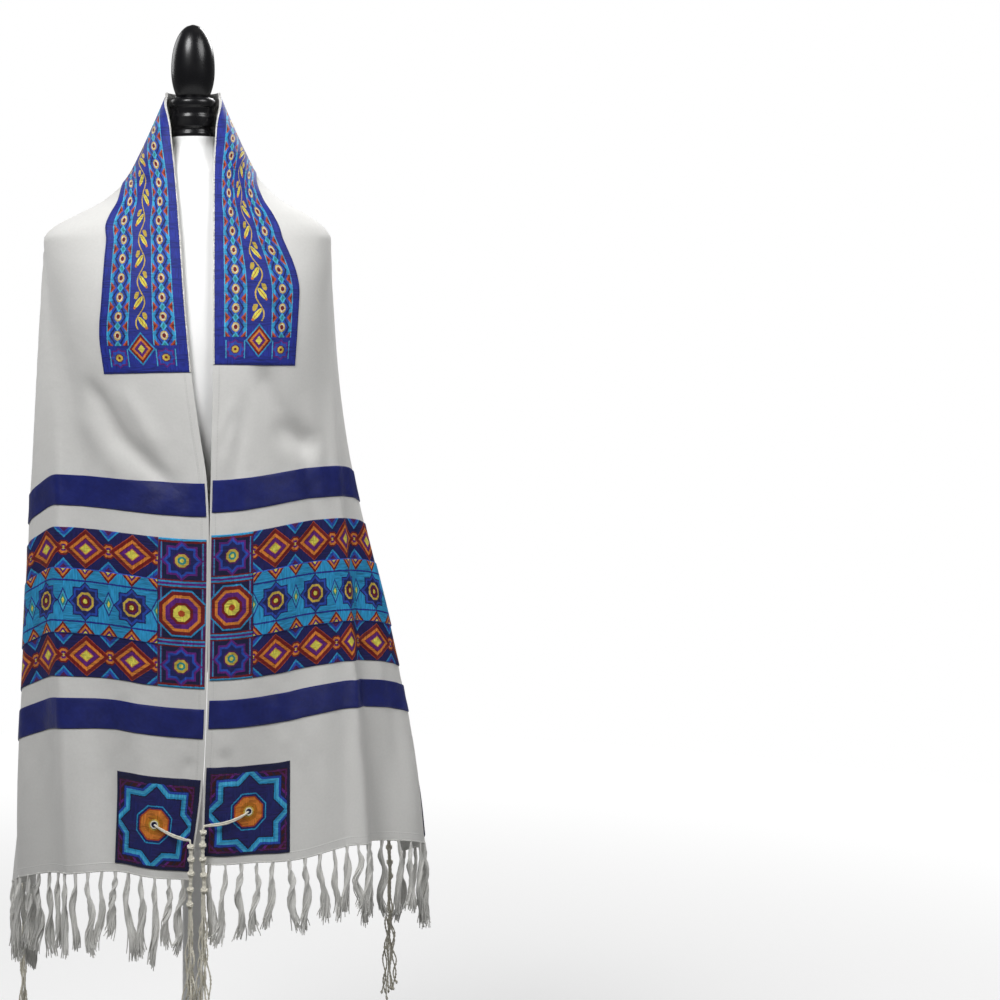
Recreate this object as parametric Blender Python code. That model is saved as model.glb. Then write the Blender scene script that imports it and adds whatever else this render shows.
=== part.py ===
"""A prayer shawl draped over a limbless dress form on a pole and a round base.

Metres, +Z up. The front of the shawl faces -Y. The origin is the centre of the base's underside.

The shawl is one long rectangle of cloth. A point on it is given by two lengths in the flat cloth:
along, from the centre of the back of the neck towards a fringed end (positive towards +X), and
across, from the neck edge. Every piece of the shawl is made from the same draped surface, moved out.
"""

import math
from typing import NamedTuple

import bpy
from mathutils import Vector

# Heights and sizes of the stand
NECK_TOP = 1.420
BASE_RADIUS = 0.180
BASE_HEIGHT = 0.018
POLE_RADIUS = 0.0125
CAP_RADIUS = 0.0290
CAP_DEPTH = 0.049
FORM_BOTTOM = 0.670
KNOB_RADIUS = 0.0262
KNOB_HEIGHT = 0.0880
SEAM_GAP = 0.0003

# The flat cloth
SHAWL_WIDTH = 0.450
HALF_LENGTH = 0.957
CLOTH_WALL = 0.0016
PATCH_WALL = 0.0010
NECKBAND_WIDTH = 0.104
NECKBAND_HALF = 0.393
EDGE_MARGIN = 0.004
END_BLOCK_WIDTH = 0.054
SQUARE_WIDTH = 0.104

# Distances from the fringed edge, along the cloth
SQUARE_FROM, SQUARE_TO = 0.008, 0.112
LOWER_STRIPE_FROM, LOWER_STRIPE_TO = 0.158, 0.192
BAND_FROM, BAND_TO = 0.215, 0.385
RIBBON_FROM, RIBBON_TO = 0.263, 0.338
UPPER_STRIPE_FROM, UPPER_STRIPE_TO = 0.410, 0.446

# Where the cloth passes over the shoulder tips
TIP_DROP = 0.170
TIP_ALONG = 0.237
TIP_ACROSS = 0.175
RIDGE_ROUNDING = 0.050

# Fringe and corner tassels
FRINGE_STRANDS = 24
FRINGE_LENGTH = 0.082
STRIP_HEIGHT = 0.004
STRAND_WIDTH = 0.005
EYELET_ACROSS = 0.054
EYELET_UP = 0.058
TASSEL_EDGE_UP = 0.045
TASSEL_CORD_RADIUS = 0.0014
TASSEL_HEAD = 0.072
TASSEL_STRAND = 0.150


class BodySection(NamedTuple):
    """Half sizes of the surface that the cloth rests on, at one drop below the neck top."""

    drop: float
    half_width: float
    front: float
    back: float
    power: float


class FrontEdge(NamedTuple):
    """Where the two hanging front edges are, at one drop below the neck top, and how much
    lower than the rest of the cloth they have settled."""

    drop: float
    right: float
    left: float
    forward: float
    right_settled: float
    left_settled: float


class Fold(NamedTuple):
    """One turn of the cloth around a shoulder tip: its angle in the flat cloth, then how far it
    stands out and back for each metre below the tip, high up and near the hem."""

    turn: float
    out_high: float
    back_high: float
    out_low: float
    back_low: float


BODY = (
    BodySection(0.000, 0.0310, 0.031, 0.031, 2.0),
    BodySection(0.035, 0.0460, 0.040, 0.034, 2.0),
    BodySection(0.070, 0.0650, 0.050, 0.041, 2.0),
    BodySection(0.100, 0.0880, 0.059, 0.049, 2.1),
    BodySection(0.125, 0.1100, 0.066, 0.057, 2.2),
    BodySection(0.145, 0.1400, 0.071, 0.063, 2.3),
    BodySection(0.160, 0.1580, 0.075, 0.068, 2.4),
    BodySection(0.172, 0.1640, 0.078, 0.072, 2.4),
    BodySection(0.200, 0.1640, 0.086, 0.080, 2.4),
    BodySection(0.250, 0.1580, 0.099, 0.089, 2.4),
    BodySection(0.300, 0.1500, 0.107, 0.094, 2.3),
    BodySection(0.340, 0.1460, 0.109, 0.095, 2.3),
    BodySection(0.400, 0.1360, 0.104, 0.089, 2.2),
    BodySection(0.460, 0.1230, 0.092, 0.081, 2.2),
    BodySection(0.520, 0.1280, 0.092, 0.086, 2.2),
    BodySection(0.580, 0.1400, 0.096, 0.094, 2.2),
    BodySection(0.640, 0.1480, 0.098, 0.098, 2.2),
    BodySection(0.690, 0.1480, 0.097, 0.097, 2.2),
)

FRONT_EDGES = (
    FrontEdge(0.000, 0.0310, 0.0310, 0.000, 0.000, 0.000),
    FrontEdge(0.010, 0.0300, 0.0300, 0.013, 0.000, 0.000),
    FrontEdge(0.030, 0.0275, 0.0270, 0.029, 0.000, 0.000),
    FrontEdge(0.053, 0.0260, 0.0250, 0.041, 0.000, 0.000),
    FrontEdge(0.100, 0.0240, 0.0200, 0.058, 0.000, 0.000),
    FrontEdge(0.160, 0.0235, 0.0150, 0.077, 0.000, 0.000),
    FrontEdge(0.240, 0.0230, 0.0095, 0.100, 0.000, 0.000),
    FrontEdge(0.300, 0.0230, 0.0045, 0.110, -0.002, -0.002),
    FrontEdge(0.340, 0.0230, 0.0010, 0.113, -0.003, -0.004),
    FrontEdge(0.390, 0.0220, -0.0060, 0.114, 0.004, 0.000),
    FrontEdge(0.450, 0.0210, -0.0150, 0.115, 0.012, 0.005),
    FrontEdge(0.500, 0.0200, -0.0165, 0.116, 0.013, 0.008),
    FrontEdge(0.690, 0.0175, -0.0140, 0.118, 0.009, 0.009),
    FrontEdge(0.760, 0.0155, -0.0115, 0.119, 0.006, 0.009),
    FrontEdge(0.800, 0.0145, -0.0070, 0.119, 0.004, 0.010),
    FrontEdge(0.900, 0.0110, 0.0050, 0.121, 0.002, 0.010),
)

RIGHT_TIP_OUT = 0.163
LEFT_TIP_OUT = 0.178

RIGHT_FOLDS = (
    Fold(0, 0.000, -0.21, 0.020, -0.135),
    Fold(3, 0.020, -0.18, 0.050, -0.122),
    Fold(6, 0.035, -0.14, 0.062, -0.085),
    Fold(10, 0.050, -0.08, 0.105, -0.045),
    Fold(15, 0.060, -0.02, 0.160, 0.000),
    Fold(18, 0.055, 0.02, 0.160, 0.045),
    Fold(21, 0.045, 0.06, 0.130, 0.085),
    Fold(27, 0.020, 0.10, 0.085, 0.115),
    Fold(34, 0.020, 0.15, 0.075, 0.155),
    Fold(42, 0.060, 0.19, 0.100, 0.185),
    Fold(50, 0.070, 0.24, 0.100, 0.220),
    Fold(60, 0.030, 0.28, 0.030, 0.245),
    Fold(70, 0.010, 0.33, 0.020, 0.270),
    Fold(80, 0.030, 0.38, 0.030, 0.290),
    Fold(90, -0.080, 0.41, -0.080, 0.280),
)

LEFT_FOLDS = (
    Fold(0, -0.080, -0.20, -0.042, -0.125),
    Fold(5, -0.010, -0.13, 0.006, -0.060),
    Fold(9, 0.045, -0.06, 0.048, -0.008),
    Fold(12, 0.060, -0.01, 0.052, 0.030),
    Fold(15, 0.055, 0.03, 0.035, 0.062),
    Fold(18, 0.040, 0.07, 0.025, 0.095),
    Fold(21, 0.030, 0.10, 0.035, 0.130),
    Fold(27, 0.020, 0.13, 0.030, 0.165),
    Fold(34, 0.020, 0.17, 0.000, 0.185),
    Fold(42, 0.050, 0.20, 0.010, 0.205),
    Fold(50, 0.060, 0.245, 0.040, 0.225),
    Fold(60, 0.020, 0.28, 0.020, 0.250),
    Fold(70, 0.000, 0.33, 0.000, 0.270),
    Fold(80, 0.020, 0.38, 0.010, 0.285),
    Fold(90, -0.120, 0.41, -0.120, 0.270),
)

# The cloth lies a little further round the neck towards the left, and its left side hangs askew
NECK_SHIFT = 0.005
LEFT_SIDE_FALL = 0.022
GATHER = 0.026
FRONT_HEADING = {1: 28.0, -1: 15.0}

# Upright folds of the loose cloth across the back
BACK_FOLD_COUNT = 2.5
BACK_FOLD_DEPTH = 0.013

COLOURS = {
    "shawl_cloth": ((0.80, 0.79, 0.77), 0.75, 0.0),
    "royal_satin": ((0.045, 0.065, 0.33), 0.35, 0.0),
    "embroidery": ((0.10, 0.12, 0.38), 0.45, 0.0),
    "turquoise_braid": ((0.05, 0.42, 0.66), 0.45, 0.0),
    "fringe_yarn": ((0.78, 0.77, 0.73), 0.70, 0.0),
    "form_cover": ((0.88, 0.88, 0.87), 0.60, 0.0),
    "black_wood": ((0.012, 0.012, 0.014), 0.25, 0.0),
    "white_metal": ((0.85, 0.85, 0.85), 0.35, 0.0),
}


def smooth_step(value):
    """Eases from 0 to 1 while value goes from 0 to 1."""
    share = min(max(value, 0.0), 1.0)
    return share * share * (3.0 - 2.0 * share)


def soft_max(first, second, rounding):
    """The larger of two numbers, rounded where they are nearly equal."""
    closeness = max(rounding - abs(first - second), 0.0) / rounding
    return max(first, second) + closeness * closeness * rounding / 4.0


def curve_through(rows, key, column):
    """A function that runs smoothly through one column of a table, with no overshoot."""
    stations = [getattr(row, key) for row in rows]
    heights = [getattr(row, column) for row in rows]
    rises = [
        (heights[i + 1] - heights[i]) / (stations[i + 1] - stations[i])
        for i in range(len(rows) - 1)
    ]
    slopes = [rises[0]]
    for before, after in zip(rises, rises[1:]):
        level = before * after <= 0.0
        slopes.append(0.0 if level else 2.0 * before * after / (before + after))
    slopes.append(rises[-1])

    def value(station):
        if station <= stations[0]:
            return heights[0]
        if station >= stations[-1]:
            return heights[-1]
        i = max(n for n in range(len(stations) - 1) if stations[n] <= station)
        length = stations[i + 1] - stations[i]
        u = (station - stations[i]) / length
        return (
            heights[i] * (1 + 2 * u) * (1 - u) ** 2
            + slopes[i] * length * u * (1 - u) ** 2
            + heights[i + 1] * u * u * (3 - 2 * u)
            - slopes[i + 1] * length * u * u * (1 - u)
        )

    return value


def curves_of(rows, key):
    """One smooth function for each column of a table, by the column's name."""
    return {name: curve_through(rows, key, name) for name in rows[0]._fields if name != key}


body_at = curves_of(BODY, "drop")
edge_at = curves_of(FRONT_EDGES, "drop")
folds_at = {1: curves_of(RIGHT_FOLDS, "turn"), -1: curves_of(LEFT_FOLDS, "turn")}
tip_out = {1: RIGHT_TIP_OUT, -1: LEFT_TIP_OUT}


def ridge_out(side, drop):
    """How far the cloth's shoulder line is from the neck's axis, at a drop above the tip."""
    past = tip_out[side] - body_at["half_width"](TIP_DROP)
    return body_at["half_width"](drop) + past * smooth_step((drop - 0.13) / 0.04)


def bezier(start, first, second, end, u):
    """A point on a cubic curve in plan; u goes from 0 at start to 1 at end."""
    weights = ((1 - u) ** 3, 3 * u * (1 - u) ** 2, 3 * u * u * (1 - u), u ** 3)
    return sum((p * w for p, w in zip((start, first, second, end), weights)), Vector((0.0, 0.0)))


def even_bezier(corners, share):
    """A point at a share of the length of a cubic curve in plan."""
    steps = 12
    marks = [bezier(*corners, n / steps) for n in range(steps + 1)]
    lengths = [0.0]
    for before, after in zip(marks, marks[1:]):
        lengths.append(lengths[-1] + (after - before).length)
    goal = min(max(share, 0.0), 1.0) * lengths[-1]
    n = max(k for k in range(steps) if lengths[k] <= goal or k == 0)
    return bezier(*corners, (n + (goal - lengths[n]) / (lengths[n + 1] - lengths[n])) / steps)


def clear_of_body(point, drop):
    """Moves a plan point out to the surface that the cloth rests on, if it is inside that."""
    if drop > FORM_BOTTOM + 0.02:
        return point
    depth = body_at["front"](drop) if point.y < 0 else body_at["back"](drop)
    power = body_at["power"](drop)
    across = (abs(point.x) / body_at["half_width"](drop)) ** power
    along = (abs(point.y) / depth) ** power
    level = max((across + along) ** (1.0 / power), 1e-4)
    return point * (soft_max(level, 1.0, 0.03) / level)


def tip_direction(side, radius, turn):
    """How far out and back the cloth is from the shoulder tip, for each metre below it."""
    low = smooth_step((radius - 0.10) / 0.42)
    table = folds_at[side]
    out = table["out_high"](turn) * (1 - low) + table["out_low"](turn) * low
    back = table["back_high"](turn) * (1 - low) + table["back_low"](turn) * low
    return Vector((out, back))


def corner_point(side, below, turn):
    """Plan point on the line that runs down from the shoulder tip, in front or behind."""
    return Vector((tip_out[side], 0.0)) + tip_direction(side, below, turn) * below


def front_point(side, drop, below, share):
    """Plan point in front of the form: share is 0 at the shoulder side and 1 at the front edge."""
    edge = Vector((edge_at["right" if side > 0 else "left"](drop), -edge_at["forward"](drop)))
    corner = corner_point(side, below, 0.0) if below > 0 else Vector((ridge_out(side, drop), 0.0))
    turned_in = smooth_step(below / 0.30)
    heading = math.radians(90.0 + (FRONT_HEADING[side] - 90.0) * turned_in)
    reach = 0.55 * abs(corner.x - edge.x)
    pull = 0.55 * max(abs(edge.y - corner.y), 0.35 * abs(corner.x - edge.x))
    first = corner - Vector((math.cos(heading), math.sin(heading))) * pull
    second = edge + Vector((reach, 0.0))
    return even_bezier((corner, first, second, edge), share)


def back_point(side, drop, below, share):
    """Plan point behind the form: share is 0 at the shoulder side and 1 at the centre back."""
    centre = Vector((0.0, body_at["back"](min(drop, 0.34)) + 0.002 * smooth_step(drop / 0.3)))
    corner = corner_point(side, below, 90.0) if below > 0 else Vector((ridge_out(side, drop), 0.0))
    pull = 0.55 * max(centre.y - corner.y, 0.2 * corner.x)
    first = corner + Vector((0.0, pull)) * (1 - smooth_step(below / 0.12))
    second = Vector((0.55 * corner.x, centre.y))
    point = even_bezier((corner, first, second, centre), share)
    loose = smooth_step((drop - 0.10) / 0.25) * smooth_step(share / 0.25)
    wave = 0.5 - 0.5 * math.cos(2 * math.pi * BACK_FOLD_COUNT * (1.0 - share))
    return point + Vector((0.0, BACK_FOLD_DEPTH * loose * wave))


def gathered(side, length, across):
    """The across length after the cloth has slid in towards the neck beside the shoulder."""
    slide = GATHER * smooth_step((length - 0.13) / 0.08) * (1.0 - smooth_step((length - 0.23) / 0.14))
    if side < 0:
        slide += 0.007 * smooth_step((length - 0.25) / 0.08) * (1.0 - smooth_step((length - 0.42) / 0.2))
    rise = smooth_step(across / NECKBAND_WIDTH)
    return across - slide * rise * (1.0 - smooth_step((across - NECKBAND_WIDTH) / 0.20))


def cloth_point(along, across):
    """Where a point of the flat cloth is on the draped shawl."""
    side = 1 if along >= NECK_SHIFT else -1
    length = abs(along - NECK_SHIFT)
    across = gathered(side, length, across)
    past_tip = length - TIP_ALONG
    beyond_tip = across - TIP_ACROSS
    above_tip = 1.0 - smooth_step(max(past_tip, beyond_tip) / 0.03)
    rounded = soft_max(past_tip, beyond_tip, RIDGE_ROUNDING) - max(past_tip, beyond_tip)
    if past_tip > 0 and beyond_tip > 0:
        level = math.hypot(past_tip, beyond_tip)
    else:
        level = max(past_tip, beyond_tip)
    near_neck = smooth_step(across / 0.05) * smooth_step(length / TIP_ALONG * 3.0)
    drop = TIP_DROP + level + rounded * above_tip * near_neck
    if past_tip > 0 and beyond_tip > 0:
        turn = math.degrees(math.atan2(beyond_tip, past_tip))
        plan = Vector((tip_out[side], 0.0)) + tip_direction(side, level, turn) * level
        if side < 0:
            drop += LEFT_SIDE_FALL * smooth_step(past_tip / 0.25) * smooth_step(turn / 12.0)
    elif past_tip >= beyond_tip:
        from_ridge = min(past_tip, 0.0) - beyond_tip
        share = from_ridge / max(from_ridge + across, 1e-9)
        plan = front_point(side, drop, past_tip, share)
        settled = edge_at["right_settled" if side > 0 else "left_settled"](drop)
        drop += settled * (1.0 - smooth_step(across / 0.15))
    else:
        from_ridge = min(beyond_tip, 0.0) - past_tip
        share = from_ridge / max(from_ridge + length, 1e-9)
        plan = back_point(side, drop, beyond_tip, share)
    plan = clear_of_body(plan, drop)
    return Vector((side * plan.x, plan.y, NECK_TOP - drop))


def stations_between(marks, longest):
    """The marks, and evenly spaced stations between them, no further apart than longest."""
    stations = [marks[0]]
    for low, high in zip(marks, marks[1:]):
        count = max(1, math.ceil((high - low) / longest - 1e-6))
        stations += [low + (high - low) * i / count for i in range(1, count + 1)]
    return stations


def along_stations():
    """Stations along the cloth from one fringed edge to the other, with every seam on one."""
    from_hem = (
        0.0, SQUARE_FROM, SQUARE_TO, LOWER_STRIPE_FROM, LOWER_STRIPE_TO, BAND_FROM, RIBBON_FROM,
        RIBBON_TO, BAND_TO, UPPER_STRIPE_FROM, UPPER_STRIPE_TO, HALF_LENGTH - NECKBAND_HALF,
    )
    hanging = stations_between([HALF_LENGTH - d for d in reversed(from_hem)], 0.056)
    shoulder = stations_between([0.0, 0.062, 0.100, NECKBAND_HALF], 0.0251)
    half = shoulder[:-1] + hanging
    return [-a for a in reversed(half[1:])] + half


def across_stations():
    """Stations across the cloth, from the neck edge to the outer edge, with every seam on one."""
    marks = (
        0.0, EDGE_MARGIN, END_BLOCK_WIDTH, NECKBAND_WIDTH, TIP_ACROSS, TIP_ACROSS + 0.085,
        SHAWL_WIDTH - SQUARE_WIDTH,
        SHAWL_WIDTH - END_BLOCK_WIDTH, SHAWL_WIDTH - EDGE_MARGIN, SHAWL_WIDTH,
    )
    return stations_between(marks, 0.0251)


class Drape:
    """The draped middle surface of the cloth, as a grid of points and outward normals."""

    def __init__(self):
        self.along = along_stations()
        self.across = across_stations()
        self.points = [[cloth_point(a, c) for c in self.across] for a in self.along]
        self.normals = self.surface_normals()

    def surface_normals(self):
        """Outward normals, averaged from the triangles around each point."""
        rows, columns = len(self.along), len(self.across)
        normals = [[Vector((0.0, 0.0, 0.0)) for _ in range(columns)] for _ in range(rows)]
        for i in range(rows - 1):
            for j in range(columns - 1):
                corners = ((i, j), (i + 1, j), (i + 1, j + 1), (i, j + 1))
                for triangle in ((0, 1, 2), (0, 2, 3)):
                    a, b, c = (corners[n] for n in triangle)
                    pa, pb, pc = (self.points[n[0]][n[1]] for n in (a, b, c))
                    face = (pb - pa).cross(pc - pa)
                    for n in (a, b, c):
                        normals[n[0]][n[1]] += face
        return [[n.normalized() for n in row] for row in normals]

    def index(self, stations, mark):
        """The number of the station at a mark."""
        return min(range(len(stations)), key=lambda n: abs(stations[n] - mark))

    def patch(self, along_range, across_range):
        """The row and column numbers of a rectangle of the flat cloth."""
        rows = [self.index(self.along, a) for a in along_range]
        columns = [self.index(self.across, c) for c in across_range]
        return rows[0], rows[1], columns[0], columns[1]

    def surface_point(self, along, across, height):
        """A point of the faceted surface, moved out by a height."""
        i = min(max(n for n, a in enumerate(self.along) if a <= along + 1e-9), len(self.along) - 2)
        j = min(max(n for n, c in enumerate(self.across) if c <= across + 1e-9), len(self.across) - 2)
        u = (along - self.along[i]) / (self.along[i + 1] - self.along[i])
        v = (across - self.across[j]) / (self.across[j + 1] - self.across[j])
        if u >= v:
            shares = (((i, j), 1 - u), ((i + 1, j), u - v), ((i + 1, j + 1), v))
        else:
            shares = (((i, j), 1 - v), ((i + 1, j + 1), u), ((i, j + 1), v - u))
        point = sum((self.points[n[0]][n[1]] * w for n, w in shares), Vector())
        normal = sum((self.normals[n[0]][n[1]] * w for n, w in shares), Vector())
        return point + normal.normalized() * height

    def hem_point(self, end, across):
        """Point, normal and downward direction on the fringed edge, straight between columns."""
        row, inner = (len(self.along) - 1, len(self.along) - 2) if end > 0 else (0, 1)
        j = min(max(n for n, c in enumerate(self.across) if c <= across + 1e-9), len(self.across) - 2)
        u = (across - self.across[j]) / (self.across[j + 1] - self.across[j])
        point = self.points[row][j].lerp(self.points[row][j + 1], u)
        normal = self.normals[row][j].lerp(self.normals[row][j + 1], u).normalized()
        above = self.points[inner][j].lerp(self.points[inner][j + 1], u)
        return point, normal, (point - above).normalized()


def material_named(name):
    """The material of that name, made once."""
    found = bpy.data.materials.get(name)
    if found:
        return found
    colour, roughness, metallic = COLOURS[name]
    made = bpy.data.materials.new(name)
    made.use_nodes = True
    made.diffuse_color = (*colour, 1.0)
    shader = made.node_tree.nodes["Principled BSDF"]
    shader.inputs["Base Color"].default_value = (*colour, 1.0)
    shader.inputs["Roughness"].default_value = roughness
    shader.inputs["Metallic"].default_value = metallic
    return made


def add_object(name, points, faces, material):
    """A mesh object from points and faces, shaded smooth but for its sharp edges."""
    mesh = bpy.data.meshes.new(name)
    mesh.from_pydata([tuple(p) for p in points], [], faces)
    mesh.update()
    mesh.shade_smooth()
    mesh.set_sharp_from_angle(angle=math.radians(40))
    mesh.materials.append(material_named(material))
    made = bpy.data.objects.new(name, mesh)
    bpy.context.scene.collection.objects.link(made)
    return made


def cloth_wall(drape, name, rectangle, low, high, material, inset=0.0):
    """A closed wall over a rectangle of the drape, from low to high above its middle surface."""
    first_row, last_row, first_column, last_column = rectangle
    rows = range(first_row, last_row + 1)
    columns = range(first_column, last_column + 1)
    spread = len(columns)

    def pulled_in(i, j, height):
        point = drape.points[i][j] + drape.normals[i][j] * height
        for at_edge, neighbour in (
            (i == first_row, (i + 1, j)), (i == last_row, (i - 1, j)),
            (j == first_column, (i, j + 1)), (j == last_column, (i, j - 1)),
        ):
            if at_edge and inset:
                towards = drape.points[neighbour[0]][neighbour[1]] - drape.points[i][j]
                point = point + towards.normalized() * inset
        return point

    outer = [pulled_in(i, j, high) for i in rows for j in columns]
    inner = [pulled_in(i, j, low) for i in rows for j in columns]
    count = len(outer)
    faces = []
    for i in range(len(rows) - 1):
        for j in range(spread - 1):
            a, b = i * spread + j, (i + 1) * spread + j
            faces += [(a, b, b + 1), (a, b + 1, a + 1)]
            faces += [(count + a, count + b + 1, count + b), (count + a, count + a + 1, count + b + 1)]
    last = (len(rows) - 1) * spread
    rim = list(range(spread - 1)) + [i * spread + spread - 1 for i in range(len(rows) - 1)]
    rim += [last + j for j in range(spread - 1, 0, -1)] + [i * spread for i in range(len(rows) - 1, 0, -1)]
    for a, b in zip(rim, rim[1:] + rim[:1]):
        faces += [(a, b, count + b), (a, count + b, count + a)]
    return add_object(name, outer + inner, faces, material)


def patch_heights(layer):
    """From and to heights of a sewn layer above the cloth's middle surface, the first being 1."""
    low = CLOTH_WALL / 2 + layer * SEAM_GAP + (layer - 1) * PATCH_WALL
    return low, low + PATCH_WALL


def make_shawl(drape):
    """The cloth, and all that is sewn flat on it."""
    whole = (0, len(drape.along) - 1, 0, len(drape.across) - 1)
    cloth_wall(drape, "shawl_body", whole, -CLOTH_WALL / 2, CLOTH_WALL / 2, "shawl_cloth")
    first = patch_heights(1)
    second = patch_heights(2)
    inset = SEAM_GAP / 2
    neckband = drape.patch((-NECKBAND_HALF, NECKBAND_HALF), (0.0, NECKBAND_WIDTH))
    cloth_wall(drape, "neckband", neckband, *first, "royal_satin", inset=inset)
    inner, outer = EDGE_MARGIN, SHAWL_WIDTH - EDGE_MARGIN
    front_blocks = (inner, END_BLOCK_WIDTH)
    rear_blocks = (SHAWL_WIDTH - END_BLOCK_WIDTH, outer)
    middle = (END_BLOCK_WIDTH, SHAWL_WIDTH - END_BLOCK_WIDTH)
    for side, end in (("right", 1), ("left", -1)):
        pieces = (
            ("upper_stripe", UPPER_STRIPE_FROM, UPPER_STRIPE_TO, (inner, outer), first, "royal_satin"),
            ("lower_stripe", LOWER_STRIPE_FROM, LOWER_STRIPE_TO, (inner, outer), first, "royal_satin"),
            ("band", BAND_FROM, BAND_TO, middle, first, "embroidery"),
            ("band_front_block", BAND_FROM, BAND_TO, front_blocks, first, "embroidery"),
            ("band_rear_block", BAND_FROM, BAND_TO, rear_blocks, first, "embroidery"),
            ("ribbon", RIBBON_FROM, RIBBON_TO, middle, second, "turquoise_braid"),
            ("front_square", SQUARE_FROM, SQUARE_TO, (inner, SQUARE_WIDTH), first, "embroidery"),
            ("rear_square", SQUARE_FROM, SQUARE_TO, (SHAWL_WIDTH - SQUARE_WIDTH, outer), first,
             "embroidery"),
        )
        for name, low, high, columns, heights, material in pieces:
            ends = sorted((end * (HALF_LENGTH - low), end * (HALF_LENGTH - high)))
            rectangle = drape.patch(ends, columns)
            cloth_wall(drape, f"{name}_{side}", rectangle, *heights, material, inset=inset)


def uneven(number, low, high):
    """A steady uneven value between low and high for a counted thing."""
    share = math.sin(number * 12.9898 + 4.1) * 43758.5453
    return low + (high - low) * (share - math.floor(share))


class StrandLevel(NamedTuple):
    """One section of a fringe strand, at a share of its length."""

    share: float
    width: float
    depth: float


STRAND_LEVELS = (
    StrandLevel(0.22, 0.0044, 0.0036),
    StrandLevel(0.60, 0.0058, 0.0044),
    StrandLevel(1.00, 0.0078, 0.0042),
)


def fringe(drape, side, end):
    """A narrow strip just under the fringed edge, with the strands growing out of it."""
    spacing = SHAWL_WIDTH / FRINGE_STRANDS
    centres = [(n + 0.5) * spacing for n in range(FRINGE_STRANDS)]
    half = STRAND_WIDTH / 2
    edges = [c + d for c in centres for d in (-half, half)]
    stations = sorted([0.0, *edges, SHAWL_WIDTH])
    points, faces = [], []
    for across in stations:
        point, normal, down = drape.hem_point(end, across)
        top, bottom = point + down * SEAM_GAP, point + down * STRIP_HEIGHT
        out = normal * CLOTH_WALL / 2
        points += [top - out, top + out, bottom + out, bottom - out]

    def face(*corners):
        faces.append(tuple(reversed(corners)) if end > 0 else corners)

    for n in range(len(stations) - 1):
        a, b = 4 * n, 4 * (n + 1)
        face(a, b, b + 1, a + 1)
        face(a + 1, b + 1, b + 2, a + 2)
        face(a + 3, b + 3, b, a)
        middle = (stations[n] + stations[n + 1]) / 2
        root = min(range(FRINGE_STRANDS), key=lambda m: abs(centres[m] - middle))
        if abs(centres[root] - middle) > half * 0.5:
            face(a + 2, b + 2, b + 3, a + 3)
            continue
        add_strand(points, face, (a + 2, b + 2, b + 3, a + 3), root + (0 if end > 0 else 50))
    face(0, 1, 2, 3)
    last = 4 * (len(stations) - 1)
    face(last + 3, last + 2, last + 1, last)
    return add_object(f"fringe_{side}", points, faces, "fringe_yarn")


def add_strand(points, face, root, number):
    """Grows one four-sided strand down from the root corners, a little bent and turned."""
    corners = [points[n] for n in root]
    centre = sum(corners, Vector()) / 4
    run = (corners[1] - corners[0]).normalized()
    out = (corners[0] - corners[3]).normalized()
    length = FRINGE_LENGTH * uneven(number, 0.86, 1.08)
    sway = uneven(number + 100, -0.004, 0.004)
    ripple = uneven(number + 200, -0.0022, 0.0022)
    previous = root
    for level in STRAND_LEVELS:
        drop = length * level.share
        bend = sway * level.share + ripple * math.sin(7.0 * level.share + number)
        middle = centre + Vector((0.0, 0.0, -drop)) + run * bend
        wide = run * level.width / 2 * uneven(number + 300, 0.85, 1.1)
        deep = out * level.depth / 2
        ring = [middle - wide + deep, middle + wide + deep, middle + wide - deep, middle - wide - deep]
        start = len(points)
        points.extend(ring)
        now = (start, start + 1, start + 2, start + 3)
        for k in range(4):
            after = (k + 1) % 4
            face(previous[k], previous[after], now[after], now[k])
        previous = now
    face(*previous)


def tube_rings(path, radii, sides, up):
    """Rings of points around a path; up is a direction that stays roughly square to it."""
    rings = []
    for n, (centre, radius) in enumerate(zip(path, radii)):
        before, after = path[max(n - 1, 0)], path[min(n + 1, len(path) - 1)]
        forward = (after - before).normalized()
        first = up.cross(forward).normalized()
        second = forward.cross(first)
        rings.append([
            centre + (first * math.cos(a) + second * math.sin(a)) * radius
            for a in (2 * math.pi * k / sides for k in range(sides))
        ])
    return rings


class HeadRing(NamedTuple):
    """Radius of a tassel's wound head at a share of its length: knots stand proud of windings."""

    share: float
    radius: float


HEAD_RINGS = (
    HeadRing(0.00, 0.0036), HeadRing(0.10, 0.0040), HeadRing(0.20, 0.0027), HeadRing(0.84, 0.0027),
    HeadRing(0.92, 0.0040), HeadRing(1.00, 0.0036),
)


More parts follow.
